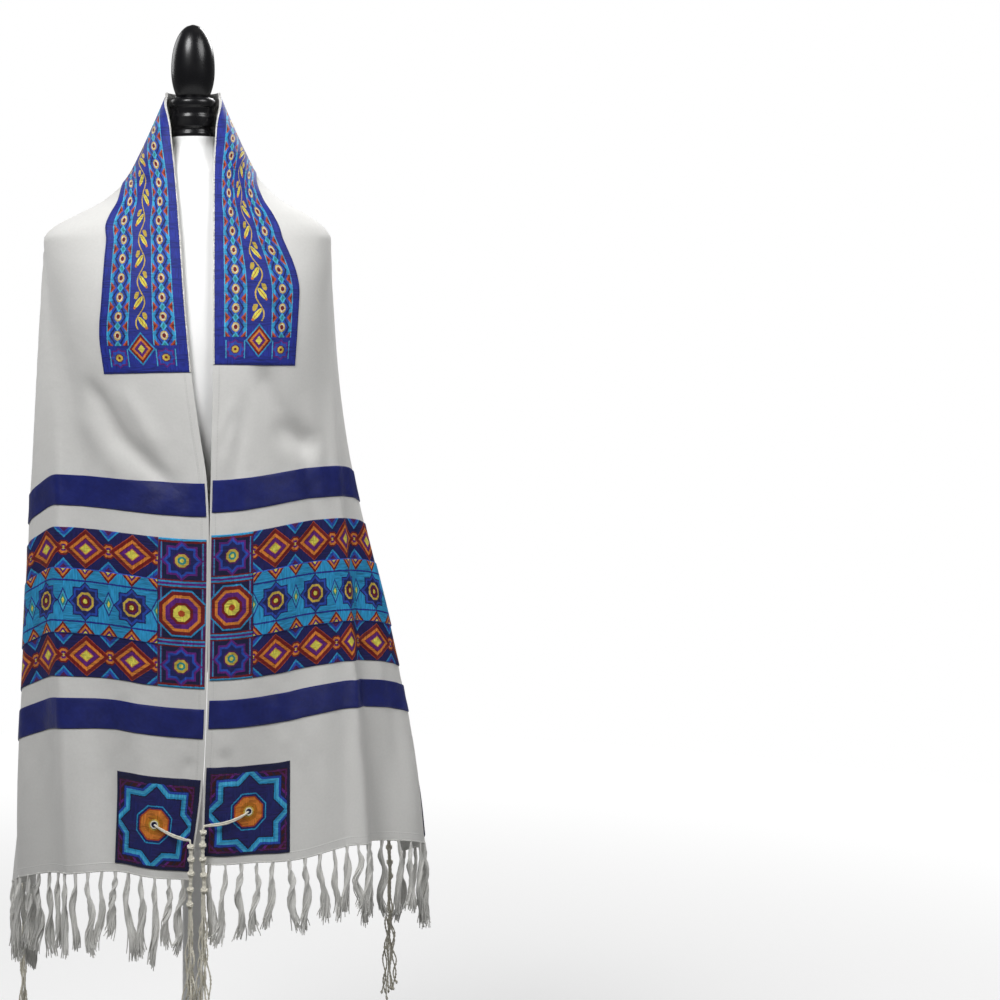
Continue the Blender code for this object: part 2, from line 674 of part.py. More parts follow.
def corner_tassel(drape, name, end, at_front):
    """A corner tassel: its cord from the square's eyelet to the cloth's edge, then the knotted
    head that hangs there, then the free strands."""
    lift = CLOTH_WALL / 2 + 2.5 * SEAM_GAP + PATCH_WALL + TASSEL_CORD_RADIUS

    def on_cloth(inward, up, height):
        across = inward if at_front else SHAWL_WIDTH - inward
        return drape.surface_point(end * (HALF_LENGTH - up), across, height)

    reach = 0.0050 if at_front and end < 0 else 0.0020 if at_front else -0.0040
    stand_off = 0.0100 if at_front else lift + 0.0012
    path = []
    for share in (0.0, 0.33, 0.67, 1.0):
        up = TASSEL_EDGE_UP + (EYELET_UP - TASSEL_EDGE_UP) * (1 - share) ** 2
        inward = max(EYELET_ACROSS + (reach - EYELET_ACROSS) * share, 0.0)
        path.append(on_cloth(inward, up, lift + (stand_off - lift) * share))
    beyond = path[-1] - on_cloth(0.010, TASSEL_EDGE_UP, stand_off)
    if reach < 0.0:
        path[-1] = path[-1] + beyond * 0.25
    top = path[-1] + beyond * 0.08 + Vector((0.0, 0.0, -0.007))
    radii = [TASSEL_CORD_RADIUS] * len(path)
    for ring in HEAD_RINGS:
        path.append(top + Vector((0.0, 0.0, -TASSEL_HEAD * ring.share)))
        radii.append(ring.radius)
    out = (on_cloth(0.004, TASSEL_EDGE_UP, 0.01) - on_cloth(0.004, TASSEL_EDGE_UP, 0.0)).normalized()
    rings = tube_rings(path, radii, 8, out)
    points = [p for ring in rings for p in ring]
    faces = [tuple(reversed(range(8)))]
    for n in range(len(rings) - 1):
        for k in range(8):
            after = (k + 1) % 8
            faces.append((8 * n + k, 8 * n + after, 8 * n + 8 + after, 8 * n + 8 + k))
    add_free_strands(points, faces, len(rings) - 1, path[-1])
    return add_object(name, points, faces, "fringe_yarn")


def add_free_strands(points, faces, last_ring, centre):
    """Four free strands, each grown from a quarter of the head's lower end."""
    base = 8 * last_ring
    hub = len(points)
    points.append(centre)
    for quarter in range(4):
        root = (hub, base + 2 * quarter, base + 2 * quarter + 1, base + (2 * quarter + 2) % 8)
        middle = sum((points[n] for n in root), Vector()) / 4
        outward = (middle - centre).normalized()
        length = TASSEL_STRAND * uneven(quarter + centre.x * 900, 0.86, 1.0)
        previous = root
        for share in (0.15, 0.5, 1.0):
            spread = 0.0016 + 0.006 * share * uneven(quarter + 31 + centre.x * 700, 0.3, 1.0)
            wave = 0.0018 * math.sin(9.0 * share + 1.7 * quarter) * share
            shift = outward * (spread + wave) + Vector((0.0, 0.0, -length * share))
            scale = 0.55 if share < 1.0 else 0.4
            start = len(points)
            points.extend(middle + shift + (points[n] - middle) * scale for n in root)
            now = tuple(range(start, start + 4))
            for k in range(4):
                after = (k + 1) % 4
                faces.append((previous[k], previous[after], now[after], now[k]))
            previous = now
        faces.append(previous)


def form_section(drop):
    """Half width, front, back and power of the form's own surface, just inside the cloth's."""
    inset = 0.0028 + 0.0010 * smooth_step((drop - 0.085) / 0.02) * (1 - smooth_step((drop - 0.18) / 0.02))
    lifted = max(drop - inset, 0.0)
    neck_flare = 0.0285 + 2.4 * max(drop - 0.058, 0.0) ** 1.35
    half_width = min(body_at["half_width"](lifted) - inset, neck_flare + 0.9 * max(drop - 0.10, 0.0))
    front = min(body_at["front"](lifted) - inset, neck_flare)
    back = min(body_at["back"](lifted) - inset, neck_flare)
    return half_width, front, back, body_at["power"](drop)


def make_form():
    """The covered torso: sections from just under the neck cap down to its flat underside."""
    drops = [CAP_DEPTH + SEAM_GAP, 0.062, 0.082, 0.100, 0.116, 0.130, 0.142, 0.152, 0.161, 0.172]
    drops += [0.190, 0.230, 0.285, 0.345, 0.410, 0.470, 0.540, 0.610]
    drops += [FORM_BOTTOM - 0.006, FORM_BOTTOM]
    sides = 24
    points, faces = [], []
    for drop in drops:
        half_width, front, back, power = form_section(drop)
        shrink = 0.96 if drop == FORM_BOTTOM else 1.0
        for k in range(sides):
            angle = 2 * math.pi * k / sides
            cosine, sine = math.cos(angle), math.sin(angle)
            depth = back if sine > 0 else front
            x = math.copysign(half_width * abs(cosine) ** (2 / power), cosine)
            y = math.copysign(depth * abs(sine) ** (2 / power), sine)
            points.append(Vector((x * shrink, y * shrink, NECK_TOP - drop)))
    for n in range(len(drops) - 1):
        for k in range(sides):
            after = (k + 1) % sides
            upper, lower = n * sides, (n + 1) * sides
            faces.append((upper + k, lower + k, lower + after, upper + after))
    faces.append(tuple(range(sides)))
    faces.append(tuple((len(drops) - 1) * sides + k for k in reversed(range(sides))))
    add_object("form_torso", points, faces, "form_cover")


def turned(name, profile, sides, material):
    """A solid of revolution about the Z axis from a profile of (radius, height), top to bottom."""
    points, faces = [], []
    for radius, height in profile:
        points += [
            Vector((radius * math.cos(a), radius * math.sin(a), height))
            for a in (2 * math.pi * k / sides for k in range(sides))
        ]
    for n in range(len(profile) - 1):
        for k in range(sides):
            after = (k + 1) % sides
            faces.append((n * sides + k, (n + 1) * sides + k, (n + 1) * sides + after, n * sides + after))
    faces.append(tuple(range(sides)))
    faces.append(tuple((len(profile) - 1) * sides + k for k in reversed(range(sides))))
    return add_object(name, points, faces, material)


def make_stand():
    """Base, pole, neck cap and knob, all turned about the neck's axis."""
    turned("base", [
        (0.030, BASE_HEIGHT), (0.100, BASE_HEIGHT * 0.80), (BASE_RADIUS - 0.012, BASE_HEIGHT * 0.52),
        (BASE_RADIUS - 0.003, BASE_HEIGHT * 0.36), (BASE_RADIUS, BASE_HEIGHT * 0.2), (BASE_RADIUS, 0.0),
    ], 36, "white_metal")
    pole_top = NECK_TOP - FORM_BOTTOM - SEAM_GAP
    collar = 0.022
    turned("pole", [
        (0.030, pole_top), (0.030, pole_top - 0.006), (POLE_RADIUS + 0.003, pole_top - collar),
        (POLE_RADIUS, pole_top - collar - 0.003), (POLE_RADIUS, BASE_HEIGHT + SEAM_GAP),
    ], 16, "white_metal")
    cap_top = NECK_TOP - 0.002
    cap_bottom = NECK_TOP - CAP_DEPTH
    turned("neck_cap", [
        (CAP_RADIUS - 0.0055, cap_top), (CAP_RADIUS - 0.0010, cap_top - 0.0012),
        (CAP_RADIUS, cap_top - 0.004), (CAP_RADIUS, cap_top - 0.010),
        (CAP_RADIUS - 0.0018, cap_top - 0.0135), (CAP_RADIUS - 0.0018, cap_top - 0.020),
        (CAP_RADIUS - 0.0006, cap_top - 0.025), (CAP_RADIUS - 0.0004, cap_bottom + 0.012),
        (CAP_RADIUS - 0.0022, cap_bottom + 0.008), (CAP_RADIUS - 0.0008, cap_bottom + 0.004),
        (CAP_RADIUS - 0.0008, cap_bottom),
    ], 24, "black_wood")
    knob_bottom = cap_top + SEAM_GAP
    levels = (0.985, 0.955, 0.90, 0.82, 0.72, 0.60, 0.47, 0.34, 0.22, 0.12, 0.04, 0.0)
    widest = 0.38
    profile = []
    for level in levels:
        if level > widest:
            radius = KNOB_RADIUS * math.sqrt(max(1 - ((level - widest) / (1 - widest)) ** 2.2, 0.0))
        else:
            radius = KNOB_RADIUS * (1 - 0.27 * ((widest - level) / widest) ** 2.2)
        profile.append((radius, knob_bottom + KNOB_HEIGHT * level))
    turned("knob", profile, 20, "black_wood")


def main():
    """Builds the whole part."""
    for old in list(bpy.data.objects):
        bpy.data.objects.remove(old)
    drape = Drape()
    make_shawl(drape)
    for side, end in (("right", 1), ("left", -1)):
        fringe(drape, side, end)
        corner_tassel(drape, f"tassel_front_{side}", end, True)
        corner_tassel(drape, f"tassel_rear_{side}", end, False)
    make_form()
    make_stand()


main()
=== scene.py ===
"""Dresses a packed prayer shawl and the dress form under it, and sets up a plain studio.

Metres, +Z up, the shawl's front towards -Y. A point of the flat cloth has two lengths: along, from the
middle of the neck edge towards a fringed end (positive towards +X), and across, from the neck edge.
Every sewn piece takes its shape from the same draped surface, moved out.
"""

from __future__ import annotations

import logging
import math
from collections.abc import Callable, Sequence
from dataclasses import dataclass
from enum import Enum
from functools import cached_property

import bpy
import numpy as np
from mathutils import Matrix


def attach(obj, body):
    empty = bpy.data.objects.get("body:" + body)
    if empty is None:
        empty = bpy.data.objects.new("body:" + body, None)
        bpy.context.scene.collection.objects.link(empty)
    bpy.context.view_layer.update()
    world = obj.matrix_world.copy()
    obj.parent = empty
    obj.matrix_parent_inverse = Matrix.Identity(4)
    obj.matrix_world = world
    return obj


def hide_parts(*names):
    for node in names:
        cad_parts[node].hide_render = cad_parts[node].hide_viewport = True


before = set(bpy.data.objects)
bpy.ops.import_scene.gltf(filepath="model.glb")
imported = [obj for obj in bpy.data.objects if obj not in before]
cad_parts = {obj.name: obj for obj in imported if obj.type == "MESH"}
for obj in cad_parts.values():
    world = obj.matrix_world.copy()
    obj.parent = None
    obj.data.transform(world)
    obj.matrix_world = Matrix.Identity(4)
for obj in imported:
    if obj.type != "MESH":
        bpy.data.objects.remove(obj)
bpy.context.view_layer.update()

logging.basicConfig(level=logging.INFO, format="%(message)s")
log = logging.getLogger("shawl")

Array = np.ndarray
Piece = bpy.types.Object
Material = bpy.types.Material
Socket = bpy.types.NodeSocket
Colour = tuple[float, float, float]
Point = tuple[float, float, float]
UP = np.array([0.0, 0.0, 1.0])


class Side(Enum):
    """The two hanging ends of the shawl."""

    RIGHT = 1
    LEFT = -1

    @property
    def word(self) -> str:
        """The side's name in the frame's nodes."""
        return self.name.lower()


class Slot(Enum):
    """The record's material slots."""

    CLOTH = "shawl_cloth"
    SATIN = "royal_satin"
    EMBROIDERY = "embroidery"
    BRAID = "turquoise_braid"
    YARN = "fringe_yarn"
    COVER = "form_cover"
    WOOD = "black_wood"
    METAL = "white_metal"


@dataclass(frozen=True)
class Cut:
    """The flat cloth and what is sewn on it. Heights on the ends are measured from the hem."""

    width: float = 0.450
    half_length: float = 0.957
    wall: float = 0.0016
    patch: float = 0.0010
    seam: float = 0.0003
    margin: float = 0.0022
    block: float = 0.054
    square: float = 0.104
    neckband_width: float = 0.104
    neckband_half: float = 0.393
    square_rows: tuple[float, float] = (0.008, 0.112)
    lower_rows: tuple[float, float] = (0.158, 0.192)
    band_rows: tuple[float, float] = (0.215, 0.385)
    ribbon_rows: tuple[float, float] = (0.263, 0.338)
    upper_rows: tuple[float, float] = (0.410, 0.446)
    eyelet_across: float = 0.054
    eyelet_up: float = 0.058
    tassel_up: float = 0.045
    fringe_strands: int = 24
    fringe_length: float = 0.082
    repeats: int = 6

    @property
    def repeat(self) -> float:
        """The pattern's repeat along the band, between its end blocks."""
        return (self.width - 2 * self.block) / self.repeats

    @property
    def patch_top(self) -> float:
        """Height of a sewn patch's top above the cloth's middle surface."""
        return self.wall / 2 + self.seam + self.patch


CUT = Cut()


@dataclass(frozen=True)
class Palette:
    """Thread and cloth colours, linear."""

    white: Colour = (0.69, 0.685, 0.665)
    yarn: Colour = (0.73, 0.725, 0.695)
    wool: Colour = (0.72, 0.69, 0.59)
    satin: Colour = (0.007, 0.013, 0.125)
    royal: Colour = (0.010, 0.014, 0.100)
    royal_light: Colour = (0.014, 0.025, 0.235)
    navy: Colour = (0.007, 0.008, 0.042)
    violet_ground: Colour = (0.010, 0.010, 0.082)
    bright_blue: Colour = (0.018, 0.062, 0.38)
    turquoise: Colour = (0.022, 0.265, 0.52)
    sky: Colour = (0.055, 0.37, 0.60)
    teal: Colour = (0.02, 0.24, 0.24)
    purple: Colour = (0.100, 0.012, 0.165)
    plum: Colour = (0.075, 0.010, 0.085)
    maroon: Colour = (0.150, 0.007, 0.009)
    wine: Colour = (0.034, 0.004, 0.008)
    violet: Colour = (0.013, 0.014, 0.110)
    amber: Colour = (0.44, 0.150, 0.012)
    rust: Colour = (0.40, 0.060, 0.015)
    orange: Colour = (0.60, 0.190, 0.030)
    gold: Colour = (0.56, 0.40, 0.060)
    yellow: Colour = (0.66, 0.60, 0.085)
    cream: Colour = (0.62, 0.53, 0.38)
    jersey: Colour = (0.95, 0.95, 0.945)
    powder: Colour = (0.90, 0.90, 0.90)
    lacquer: Colour = (0.004, 0.004, 0.005)


PALETTE = Palette()


# The draped surface


def ramp(value: Array, start: float, length: float) -> Array:
    """Eases from 0 to 1 while value goes on from start by length."""
    share = np.clip((value - start) / length, 0.0, 1.0)
    return share * share * (3.0 - 2.0 * share)


def soft_max(first: Array, second: Array, rounding: float) -> Array:
    """The larger of two values, rounded where they are nearly equal."""
    closeness = np.maximum(rounding - np.abs(first - second), 0.0) / rounding
    return np.maximum(first, second) + closeness * closeness * rounding / 4.0


class SmoothCurve:
    """A curve through a table's column that never overshoots it."""

    def __init__(self, stations: Sequence[float], heights: Sequence[float]) -> None:
        """Fits the curve.

        Args:
            stations: where the column's values stand, rising.
            heights: the values there.
        """
        self.stations = np.array(stations, dtype=float)
        self.heights = np.array(heights, dtype=float)
        rises = np.diff(self.heights) / np.diff(self.stations)
        product = rises[:-1] * rises[1:]
        total = np.where(product > 0, rises[:-1] + rises[1:], 1.0)
        inner = np.where(product > 0, 2.0 * product / total, 0.0)
        self.slopes = np.concatenate(([rises[0]], inner, [rises[-1]]))

    def __call__(self, station: Array) -> Array:
        """The curve's height at each station, held level past the ends.

        Args:
            station: where to read the curve.

        Returns:
            The heights there.
        """
        x = np.clip(station, self.stations[0], self.stations[-1])
        i = np.clip(np.searchsorted(self.stations, x, side="right") - 1, 0, len(self.stations) - 2)
        length = self.stations[i + 1] - self.stations[i]
        u = (x - self.stations[i]) / length
        start = self.heights[i] * (1 + 2 * u) * (1 - u) ** 2 + self.slopes[i] * length * u * (1 - u) ** 2
        end = self.heights[i + 1] * u * u * (3 - 2 * u) - self.slopes[i + 1] * length * u * u * (1 - u)
        return start + end


@dataclass(frozen=True)
class BodySection:
    """Half sizes of the surface that the cloth rests on, at one drop below the neck top."""

    drop: float
    half_width: float
    front: float
    back: float
    power: float


@dataclass(frozen=True)
class FrontEdge:
    """Where the two front edges hang at one drop, and how far they have settled."""

    drop: float
    right: float
    left: float
    forward: float
    right_settled: float = 0.0
    left_settled: float = 0.0


@dataclass(frozen=True)
class Fold:
    """One turn of the cloth around a shoulder tip, with how far it stands out and back for each
    metre below the tip, high up and near the hem."""

    turn: float
    out_high: float
    back_high: float
    out_low: float
    back_low: float


@dataclass(frozen=True)
class Gather:
    """How far the cloth slides in towards the neck beside a shoulder, and where that starts and ends."""

    most: float
    start: float
    rise: float
    end: float
    fall: float


@dataclass(frozen=True)
class Crease:
    """A soft trough (negative depth) or ridge between two points of one hanging end."""

    side: Side
    start_along: float
    start_across: float
    end_along: float
    end_across: float
    width: float
    depth: float


BODY = tuple(BodySection(*row) for row in (
    (0, 0.031, 0.031, 0.031, 2), (0.035, 0.046, 0.04, 0.034, 2),
    (0.07, 0.062, 0.05, 0.041, 2), (0.1, 0.0785, 0.059, 0.049, 2.1),
    (0.125, 0.105, 0.066, 0.057, 2.2), (0.145, 0.14, 0.071, 0.063, 2.3),
    (0.16, 0.158, 0.075, 0.068, 2.4), (0.172, 0.164, 0.078, 0.072, 2.4),
    (0.2, 0.164, 0.086, 0.08, 2.4), (0.25, 0.158, 0.099, 0.089, 2.4),
    (0.3, 0.15, 0.107, 0.094, 2.3), (0.34, 0.146, 0.109, 0.095, 2.3),
    (0.4, 0.136, 0.104, 0.089, 2.2), (0.46, 0.123, 0.092, 0.081, 2.2),
    (0.52, 0.128, 0.092, 0.086, 2.2), (0.58, 0.14, 0.096, 0.094, 2.2),
    (0.64, 0.148, 0.098, 0.098, 2.2), (0.69, 0.148, 0.097, 0.097, 2.2),
))

FRONT_EDGES = tuple(FrontEdge(*row) for row in (
    (0, 0.031, 0.031, 0), (0.01, 0.03, 0.03, 0.013),
    (0.03, 0.0275, 0.027, 0.029), (0.053, 0.026, 0.025, 0.041),
    (0.1, 0.024, 0.02, 0.058), (0.16, 0.0235, 0.015, 0.077),
    (0.24, 0.023, 0.0095, 0.1), (0.3, 0.023, 0.0045, 0.11, -0.002, -0.002),
    (0.34, 0.023, 0.001, 0.113, -0.003, -0.004), (0.39, 0.0215, -0.0065, 0.114, 0.004, 0),
    (0.45, 0.02, -0.016, 0.115, 0.012, 0.005), (0.5, 0.0189, -0.0182, 0.116, 0.013, 0.008),
    (0.69, 0.0162, -0.0155, 0.118, 0.009, 0.009), (0.76, 0.0137, -0.0129, 0.119, 0.006, 0.009),
    (0.8, 0.0119, -0.0098, 0.119, 0.004, 0.01), (0.9, 0.0088, 0.0045, 0.121, 0.002, 0.01),
))

FOLDS = {side: tuple(Fold(*row) for row in rows) for side, rows in {
    Side.RIGHT: (
        (0, 0, -0.21, 0.02, -0.135), (3, 0.02, -0.18, 0.05, -0.122),
        (6, 0.035, -0.14, 0.062, -0.085), (10, 0.05, -0.08, 0.122, -0.045),
        (15, 0.06, -0.02, 0.16, 0.004), (18, 0.055, 0.02, 0.149, 0.05),
        (21, 0.045, 0.06, 0.122, 0.088), (27, 0.02, 0.1, 0.085, 0.115),
        (34, 0.02, 0.15, 0.075, 0.155), (42, 0.06, 0.19, 0.1, 0.185),
        (50, 0.07, 0.24, 0.1, 0.22), (60, 0.03, 0.28, 0.03, 0.245),
        (70, 0.01, 0.33, 0.02, 0.27), (80, 0.03, 0.38, 0.03, 0.29),
        (90, -0.08, 0.41, -0.08, 0.28),
    ),
    Side.LEFT: (
        (0, -0.08, -0.2, -0.042, -0.125), (5, -0.01, -0.13, 0.006, -0.06),
        (9, 0.045, -0.06, 0.048, -0.008), (12, 0.06, -0.01, 0.052, 0.03),
        (15, 0.055, 0.03, 0.035, 0.062), (18, 0.04, 0.07, 0.025, 0.095),
        (21, 0.03, 0.1, 0.035, 0.13), (27, 0.02, 0.13, 0.03, 0.165),
        (34, 0.02, 0.17, 0, 0.185), (42, 0.05, 0.2, 0.01, 0.205),
        (50, 0.06, 0.245, 0.04, 0.225), (60, 0.02, 0.28, 0.02, 0.25),
        (70, 0, 0.33, 0, 0.27), (80, 0.02, 0.38, 0.01, 0.285),
        (90, -0.12, 0.41, -0.12, 0.27),
    ),
}.items()}

CREASES = tuple(Crease(side, *row) for side, rows in {
    Side.RIGHT: (
        (0.404, 0.06, 0.45, 0.09, 0.0135, -0.0058), (0.46, 0.09, 0.488, 0.138, 0.0155, -0.0078),
        (0.45, 0.132, 0.545, 0.164, 0.015, 0.0026), (0.436, 0.022, 0.47, 0.008, 0.0045, 0.0014),
        (0.462, 0.026, 0.5, 0.014, 0.005, 0.0013), (0.44, 0.04, 0.52, 0.03, 0.008, -0.0022),
        (0.64, 0.12, 0.91, 0.135, 0.024, -0.0048), (0.8, 0.045, 0.945, 0.055, 0.022, -0.0026),
        (0.83, 0.024, 0.862, 0.03, 0.008, -0.0022), (0.2, 0.3, 0.42, 0.33, 0.02, -0.005),
        (0.06, 0.28, 0.085, 0.445, 0.022, 0.006),
    ),
    Side.LEFT: (
        (0.408, 0.124, 0.466, 0.094, 0.0108, -0.0056), (0.466, 0.094, 0.512, 0.042, 0.0112, -0.005),
        (0.44, 0.146, 0.51, 0.096, 0.014, 0.0024), (0.418, 0.08, 0.47, 0.054, 0.012, 0.0028),
        (0.3, 0.165, 0.47, 0.15, 0.016, -0.003), (0.655, 0.105, 0.9, 0.122, 0.022, -0.004),
        (0.78, 0.05, 0.94, 0.04, 0.02, -0.0024), (0.826, 0.018, 0.85, 0.026, 0.007, -0.002),
        (0.18, 0.31, 0.4, 0.33, 0.02, -0.005), (0.02, 0.25, 0.05, 0.445, 0.024, 0.0055),
        (0.14, 0.29, 0.19, 0.445, 0.018, -0.006),
    ),
}.items() for row in rows)


class Drape:
    """The draped middle surface of the cloth, as a function of the flat cloth."""

    neck_top = 1.420
    tip_drop = 0.170
    tip_along = 0.237
    tip_across = 0.175
    ridge_rounding = 0.050
    tip_out = {Side.RIGHT: 0.163, Side.LEFT: 0.178}
    heading = {Side.RIGHT: 28.0, Side.LEFT: 15.0}
    neck_shift = 0.005
    left_side_fall = 0.022
    hem_fall = {Side.RIGHT: -0.013, Side.LEFT: 0.013}
    gather = {
        Side.RIGHT: Gather(0.034, 0.105, 0.080, 0.195, 0.110),
        Side.LEFT: Gather(0.026, 0.130, 0.080, 0.230, 0.140),
    }
    late_gather = 0.007
    form_bottom = 0.670
    back_folds = 2.5
    back_fold_depth = 0.013
    curve_steps = 14
    bulge = 0.55
    slack_period = 0.098
    slack_depth = 0.0032
    pucker_reach = 0.016
    pucker_depth = 0.0008
    normal_step = 0.0012

    def __init__(self) -> None:
        """Fits a smooth curve to each column of the tables."""
        self.body = self.columns(BODY, "drop")
        self.edge = self.columns(FRONT_EDGES, "drop")
        self.folds = {side: self.columns(rows, "turn") for side, rows in FOLDS.items()}

    @staticmethod
    def columns(rows: Sequence[object], key: str) -> dict[str, SmoothCurve]:
        """One curve for each column of a table.

        Args:
            rows: the table's rows, as dataclass instances.
            key: the column that the others are given along.

        Returns:
            The curves by column name.
        """
        stations = [getattr(row, key) for row in rows]
        names = [name for name in vars(rows[0]) if name != key]
        return {name: SmoothCurve(stations, [getattr(row, name) for row in rows]) for name in names}

    @staticmethod
    def even_curve(corners: Sequence[Array], share: Array) -> Array:
        """Points at a share of the length of cubic curves in plan.

        Args:
            corners: the four control points of each curve, each of shape (n, 2).
            share: shares from 0 to 1, of shape (n,).

        Returns:
            Points of shape (n, 2).
        """
        steps = Drape.curve_steps

        def at(u: Array) -> Array:
            """The curves' points at u."""
            w = ((1 - u) ** 3, 3 * u * (1 - u) ** 2, 3 * u * u * (1 - u), u**3)
            return sum(corner * weight[:, None] for corner, weight in zip(corners, w))

        full = np.ones_like(share)
        marks = [at(full * n / steps) for n in range(steps + 1)]
        pieces = [np.linalg.norm(b - a, axis=1) for a, b in zip(marks, marks[1:])]
        goal = np.clip(share, 0.0, 1.0) * sum(pieces)
        position = np.zeros_like(share)
        done = np.zeros_like(share)
        for piece in pieces:
            position += np.clip((goal - done) / np.maximum(piece, 1e-12), 0.0, 1.0)
            done = done + piece
        return at(position / steps)

    def clear_of_body(self, plan: Array, drop: Array) -> Array:
        """Plan points moved out to the surface that the cloth rests on, where they are inside it.

        Args:
            plan: plan points of shape (n, 2).
            drop: heights below the neck top.

        Returns:
            The moved plan points.
        """
        depth = np.where(plan[:, 1] < 0, self.body["front"](drop), self.body["back"](drop))
        power = self.body["power"](drop)
        across = (np.abs(plan[:, 0]) / self.body["half_width"](drop)) ** power
        level = np.maximum((across + (np.abs(plan[:, 1]) / depth) ** power) ** (1.0 / power), 1e-4)
        grown = soft_max(level, np.ones_like(level), 0.03) / level
        return plan * np.where(drop > self.form_bottom + 0.02, 1.0, grown)[:, None]

    def direction(self, side: Side, radius: Array, turn: Array) -> Array:
        """How far out and back the cloth is from the shoulder tip, for each metre below it.

        Args:
            side: the end in hand.
            radius: lengths of cloth from the tip.
            turn: degrees around the tip.

        Returns:
            Shares out and back, of shape (n, 2).
        """
        low = ramp(radius, 0.10, 0.42)
        table = self.folds[side]
        out = table["out_high"](turn) * (1 - low) + table["out_low"](turn) * low
        back = table["back_high"](turn) * (1 - low) + table["back_low"](turn) * low
        return np.stack((out, back), axis=1)

    def corner(self, side: Side, drop: Array, below: Array, turn: float) -> Array:
        """Plan points of the line down from the shoulder tip, or of the shoulder line above it.

        Args:
            side: the end in hand.
            drop: heights below the neck top.
            below: heights below the shoulder tip.
            turn: degrees around the tip, 0 in front and 90 behind.

        Returns:
            Plan points of shape (n, 2).
        """
        tip = np.array([self.tip_out[side], 0.0])
        hanging = tip + self.direction(side, below, np.full_like(below, turn)) * below[:, None]
        past = self.tip_out[side] - float(self.body["half_width"](np.array([self.tip_drop]))[0])
        ridge = self.body["half_width"](drop) + past * ramp(drop, 0.13, 0.04)
        on_ridge = np.stack((ridge, np.zeros_like(ridge)), axis=1)
        return np.where((below > 0)[:, None], hanging, on_ridge)

    def front(self, side: Side, drop: Array, below: Array, share: Array) -> Array:
        """Plan points in front of the form, from the shoulder side to the front edge.

        Args:
            side: the end in hand.
            drop: heights below the neck top.
            below: heights below the shoulder tip.
            share: shares of the way from the shoulder side.

        Returns:
            Plan points of shape (n, 2).
        """
        edge = np.stack((self.edge[side.word](drop), -self.edge["forward"](drop)), axis=1)
        corner = self.corner(side, drop, below, 0.0)
        heading = np.radians(90.0 + (self.heading[side] - 90.0) * ramp(below, 0.0, 0.30))
        run = np.abs(corner[:, 0] - edge[:, 0])
        pull = self.bulge * np.maximum(np.abs(edge[:, 1] - corner[:, 1]), 0.35 * run)
        first = corner - np.stack((np.cos(heading), np.sin(heading)), axis=1) * pull[:, None]
        second = edge + np.stack((self.bulge * run, np.zeros_like(run)), axis=1)
        return self.even_curve((corner, first, second, edge), share)

    def behind(self, side: Side, drop: Array, below: Array, share: Array) -> Array:
        """Plan points behind the form, from the shoulder side to the centre back.

        Args:
            side: the end in hand.
            drop: heights below the neck top.
            below: heights below the shoulder tip.
            share: shares of the way from the shoulder side.

        Returns:
            Plan points of shape (n, 2).
        """
        depth = self.body["back"](np.minimum(drop, 0.34)) + 0.002 * ramp(drop, 0.0, 0.3)
        centre = np.stack((np.zeros_like(depth), depth), axis=1)
        corner = self.corner(side, drop, below, 90.0)
        pull = self.bulge * np.maximum(centre[:, 1] - corner[:, 1], 0.2 * corner[:, 0])
        pull = pull * (1 - ramp(below, 0.0, 0.12))
        first = corner + np.stack((np.zeros_like(pull), pull), axis=1)
        second = np.stack((self.bulge * corner[:, 0], centre[:, 1]), axis=1)
        plan = self.even_curve((corner, first, second, centre), share)
        loose = ramp(drop, 0.10, 0.25) * ramp(share, 0.0, 0.25)
        wave = 0.5 - 0.5 * np.cos(2 * np.pi * self.back_folds * (1.0 - share))
        plan[:, 1] += self.back_fold_depth * loose * wave
        return plan

    def gathered(self, side: Side, length: Array, across: Array) -> Array:
        """The across lengths after the cloth has slid in towards the neck beside the shoulder.

        Args:
            side: the end in hand.
            length: lengths from the neck edge's middle.
            across: across lengths, of shape (n,).

        Returns:
            The new across lengths.
        """
        pull = self.gather[side]
        slide = pull.most * ramp(length, pull.start, pull.rise)
        slide = slide * (1.0 - ramp(length, pull.end, pull.fall))
        if side is Side.LEFT:
            late = 1.0 - ramp(length, 0.42, 0.2)
            slide = slide + self.late_gather * ramp(length, 0.25, 0.08) * late
        rise = ramp(across, 0.0, CUT.neckband_width)
        return across - slide * rise * (1.0 - ramp(across, CUT.neckband_width, 0.20))

